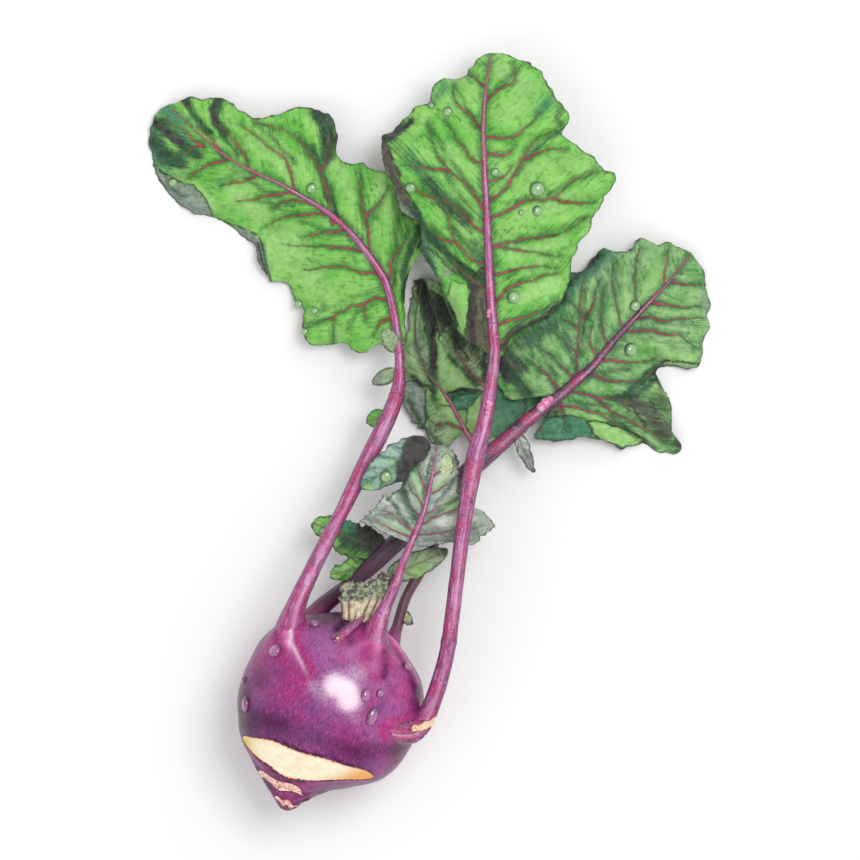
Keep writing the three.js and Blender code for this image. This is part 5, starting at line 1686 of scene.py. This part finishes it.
# ---- the heart leaf ----
def add_lobe(number, lobe, material):
    """Adds one lobe of the heart leaf: pleats that run up into a ragged frill."""
    piece, v, u = shaped_grid(f"heart_leaf_lobe_{number}", *LOBE_GRID)
    start, end, width, ripple = lobe
    start, end = np.array(start, float), np.array(end, float)
    taper = np.sqrt(1 - 0.85 * np.clip((u - 0.72) / 0.28, 0, 1) ** 2)
    half = width * (0.78 + 0.22 * smooth(0.1, 0.8, u)) * smooth(-0.25, 0.08, u) * taper
    frill = smooth(0.42, 0.6, u)
    outer = frill * smooth(0.6, 1, np.abs(v))
    lobes = 1 + outer * layered(u * 24, np.sign(v) * 2, (0.2, 2.4, 50 + number))
    points = start + u[:, None] * (end - start)
    points[:, 0] += v * half * lobes
    points[:, 1] += frill * smooth(0.6, 1, u) * layered(v * 7, 0 * u, (0.3 * width, 2.2, 60 + number))
    pleat = np.cos(v * math.pi * 3.5 + number)
    x, y = points[:, :2].T
    curl = ripple * 0.5 * np.sin(4 * math.pi * u + 3 * v)
    curl = curl + layered(x, y, (1.1, 3.4, 70 + number), (0.7, 1.5, 80 + number))
    points[:, 2] += (1 - frill) * (0.7 * pleat - 0.8 * v * v) + frill * curl
    set_points(piece, points)
    note(piece, rib=smooth(-0.55, -0.9, pleat) * (1 - 0.75 * frill) * 0.9, frill=frill,
         margin=np.minimum((1 - np.abs(v)) * half, (1 - u) * 22))
    finish_sheet(piece, [material], "leaf_pale", "heart_leaf")


class OBJECT_OT_kohlrabi_heart_leaf(bpy.types.Operator):
    """Build the youngest leaf at the crown: a pleated fan with a frilled top"""

    bl_idname = "object.kohlrabi_heart_leaf"
    bl_label = "Heart leaf"

    def execute(self, context):
        pale = stalk_material("kohlrabi_heart_stalk", rgb(208, 186, 160), rgb(232, 216, 186),
                              rgb(140, 70, 80))
        pink = bpy.data.materials["kohlrabi_bright_stalk"]
        add_stalk("heart_leaf_petiole", HEART_STALK, HEART_STALK_ROWS, "leaf_pale", pale, "heart_leaf")
        add_stalk("heart_leaf_stub", HEART_STUB, HEART_STUB_ROWS, "leaf_pale", pink, "heart_leaf")
        blade = heart_material()
        for number, lobe in enumerate(HEART_LOBES, 1):
            add_lobe(number, lobe, blade)
        return {"FINISHED"}


# ---- water drops ----
def carriers():
    """A search tree over each visible piece that a drop may sit on."""
    graph = bpy.context.evaluated_depsgraph_get()
    return [BVHTree.FromObject(piece, graph) for piece in bpy.context.scene.objects
            if piece.type == "MESH" and not piece.hide_render and "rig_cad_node" not in piece
            and "drop" not in piece.name]


def highest_below(place, trees):
    """The highest surface below a place, and the way it faces."""
    hits = [tree.ray_cast(place, Vector((0, 0, -1))) for tree in trees]
    hits = [hit for hit in hits if hit[0] is not None]
    if not hits:
        raise RuntimeError(f"no surface below the drop at {tuple(place)}")
    spot, normal = max(hits, key=lambda hit: hit[0].z)[:2]
    return spot, normal if normal.z > 0 else -normal


def add_bead(spot, normal, radius, stretch, flatness):
    """Adds one flattened bead, and notes how near its rim each point is, shifted towards its painted shade.
    """
    bpy.ops.object.select_all(action="DESELECT")
    bpy.ops.mesh.primitive_uv_sphere_add(segments=28, ring_count=16, radius=radius)
    bead = bpy.context.object
    bead.scale = (stretch, 1, flatness)
    bead.rotation_mode = "QUATERNION"
    bead.rotation_quaternion = normal.to_track_quat("Z", "Y")
    bead.location = spot + normal * DROP_LIFT * radius
    centre = np.array(bead.location)
    bpy.ops.object.transform_apply(location=True, rotation=True, scale=True)
    bpy.ops.object.shade_smooth()
    out = (np.array([vertex.co for vertex in bead.data.vertices]) - centre) / radius
    out[:, 1] /= stretch
    rim = np.linalg.norm(np.cross(out, np.array(normal)), axis=1)
    note(bead, rim=rim + out @ DROP_SHADE)
    return bead


def add_drops(name, drops, slot, material, trees, flatness=0.7):
    """Adds beads, each on the highest surface below its place, as one piece."""
    beads = []
    for x, y, radius, *stretch in drops:
        spot, normal = highest_below(Vector((x * MM, y * MM, DROP_START)), trees)
        beads.append(add_bead(spot, normal, radius * MM, *(stretch or [1]), flatness))
    bpy.ops.object.select_all(action="DESELECT")
    for bead in beads:
        bead.select_set(True)
    bpy.context.view_layer.objects.active = beads[0]
    bpy.ops.object.join()
    beads[0].name = beads[0].data.name = name
    finish_piece(beads[0], [material], slot)


class OBJECT_OT_kohlrabi_drops(bpy.types.Operator):
    """Set water drops on the bulb and the leaves, and buds on the stalks"""

    bl_idname = "object.kohlrabi_drops"
    bl_label = "Water drops"

    def execute(self, context):
        trees = carriers()
        on_bulb = water_material("water_on_bulb", rgb(200, 118, 180), rgb(104, 34, 90))
        on_leaves = water_material("water_on_leaves", rgb(170, 212, 150), rgb(58, 104, 66))
        bud = Paint("kohlrabi_bud", rgb(214, 110, 164))
        bud.wash(bud.noise(2, 3), 0.4, 0.65, 1, rgb(236, 176, 204))
        add_drops("drops_on_bulb", BULB_DROPS, "bulb_skin", on_bulb, trees)
        add_drops("drops_on_leaves", LEAF_DROPS, "leaf_green", on_leaves, trees)
        add_drops("stalk_buds", BUDS, "stalk_skin", bud.finish(0.35), trees, 0.8)
        return {"FINISHED"}


# ---- the stage ----
def area_light(name, place, size, power, target=(0.03, 0.12, 0.03)):
    """Adds a soft square light that faces its target."""
    bpy.ops.object.light_add(type="AREA", location=place)
    lamp = bpy.context.object
    lamp.name = name
    lamp.data.size = size
    lamp.data.energy = power
    lamp.rotation_euler = (Vector(target) - Vector(place)).to_track_quat("-Z", "Y").to_euler()


class SCENE_OT_kohlrabi_stage(bpy.types.Operator):
    """Set the floor, the soft lights and the camera"""

    bl_idname = "scene.kohlrabi_stage"
    bl_label = "Stage"

    def execute(self, context):
        scene = bpy.context.scene
        bpy.ops.object.select_all(action="DESELECT")
        bpy.ops.mesh.primitive_plane_add(size=FLOOR_SIZE)
        floor = bpy.context.object
        floor.name = "floor"
        floor.data.materials.append(Paint("stage_floor", rgb(250, 250, 250)).finish(0.9))
        area_light("key_light", (0.676, 0.571, 2.27), 0.95, 21, (0, 0, 0.04))
        area_light("side_light", (1.5, 1.9, 1.5), 1.4, 8)
        area_light("fill_light", (-1.3, -1.6, 1.7), 2.2, 12)
        scene.world = bpy.data.worlds.new("soft_room") if scene.world is None else scene.world
        scene.world.use_nodes = True
        sky = scene.world.node_tree.nodes["Background"]
        sky.inputs["Color"].default_value = (1, 1, 1, 1)
        sky.inputs["Strength"].default_value = SKY_STRENGTH
        scene.view_settings.view_transform = "Standard"
        x, y, z = (value * MM for value in VIEW_CENTRE)
        bpy.ops.object.camera_add(location=(x, y, z + VIEW_DISTANCE), rotation=(0, 0, 0))
        camera = bpy.context.object
        camera.data.sensor_width = SENSOR_WIDTH
        camera.data.lens = SENSOR_WIDTH * VIEW_DISTANCE / (VIEW_WIDTH * MM)
        camera.data.clip_end = 100
        scene.camera = camera
        return {"FINISHED"}


class VIEW3D_PT_kohlrabi(bpy.types.Panel):
    """Lists the steps that build the kohlrabi"""

    bl_label = "Kohlrabi"
    bl_idname = "VIEW3D_PT_kohlrabi"
    bl_space_type = "VIEW_3D"
    bl_region_type = "UI"
    bl_category = "Kohlrabi"

    def draw(self, context):
        for step in STEPS:
            self.layout.operator(step.bl_idname)


STEPS = (
    OBJECT_OT_kohlrabi_bulb, OBJECT_OT_kohlrabi_stalks, OBJECT_OT_kohlrabi_blades,
    OBJECT_OT_kohlrabi_leaflets, OBJECT_OT_kohlrabi_heart_leaf, OBJECT_OT_kohlrabi_drops,
    SCENE_OT_kohlrabi_stage,
)
CLASSES = (KohlrabiSizes, KohlrabiColours, *STEPS, VIEW3D_PT_kohlrabi)


def register():
    for cls in CLASSES:
        bpy.utils.register_class(cls)
    bpy.types.Scene.kohlrabi_sizes = bpy.props.PointerProperty(type=KohlrabiSizes)
    bpy.types.Scene.kohlrabi_colours = bpy.props.PointerProperty(type=KohlrabiColours)


def unregister():
    del bpy.types.Scene.kohlrabi_colours
    del bpy.types.Scene.kohlrabi_sizes
    for cls in reversed(CLASSES):
        bpy.utils.unregister_class(cls)


def main():
    register()
    bpy.ops.object.kohlrabi_bulb()
    bpy.ops.object.kohlrabi_stalks()
    bpy.ops.object.kohlrabi_blades()
    bpy.ops.object.kohlrabi_leaflets()
    bpy.ops.object.kohlrabi_heart_leaf()
    bpy.ops.object.kohlrabi_drops()
    bpy.ops.scene.kohlrabi_stage()
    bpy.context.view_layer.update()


if __name__ == "__main__":
    main()
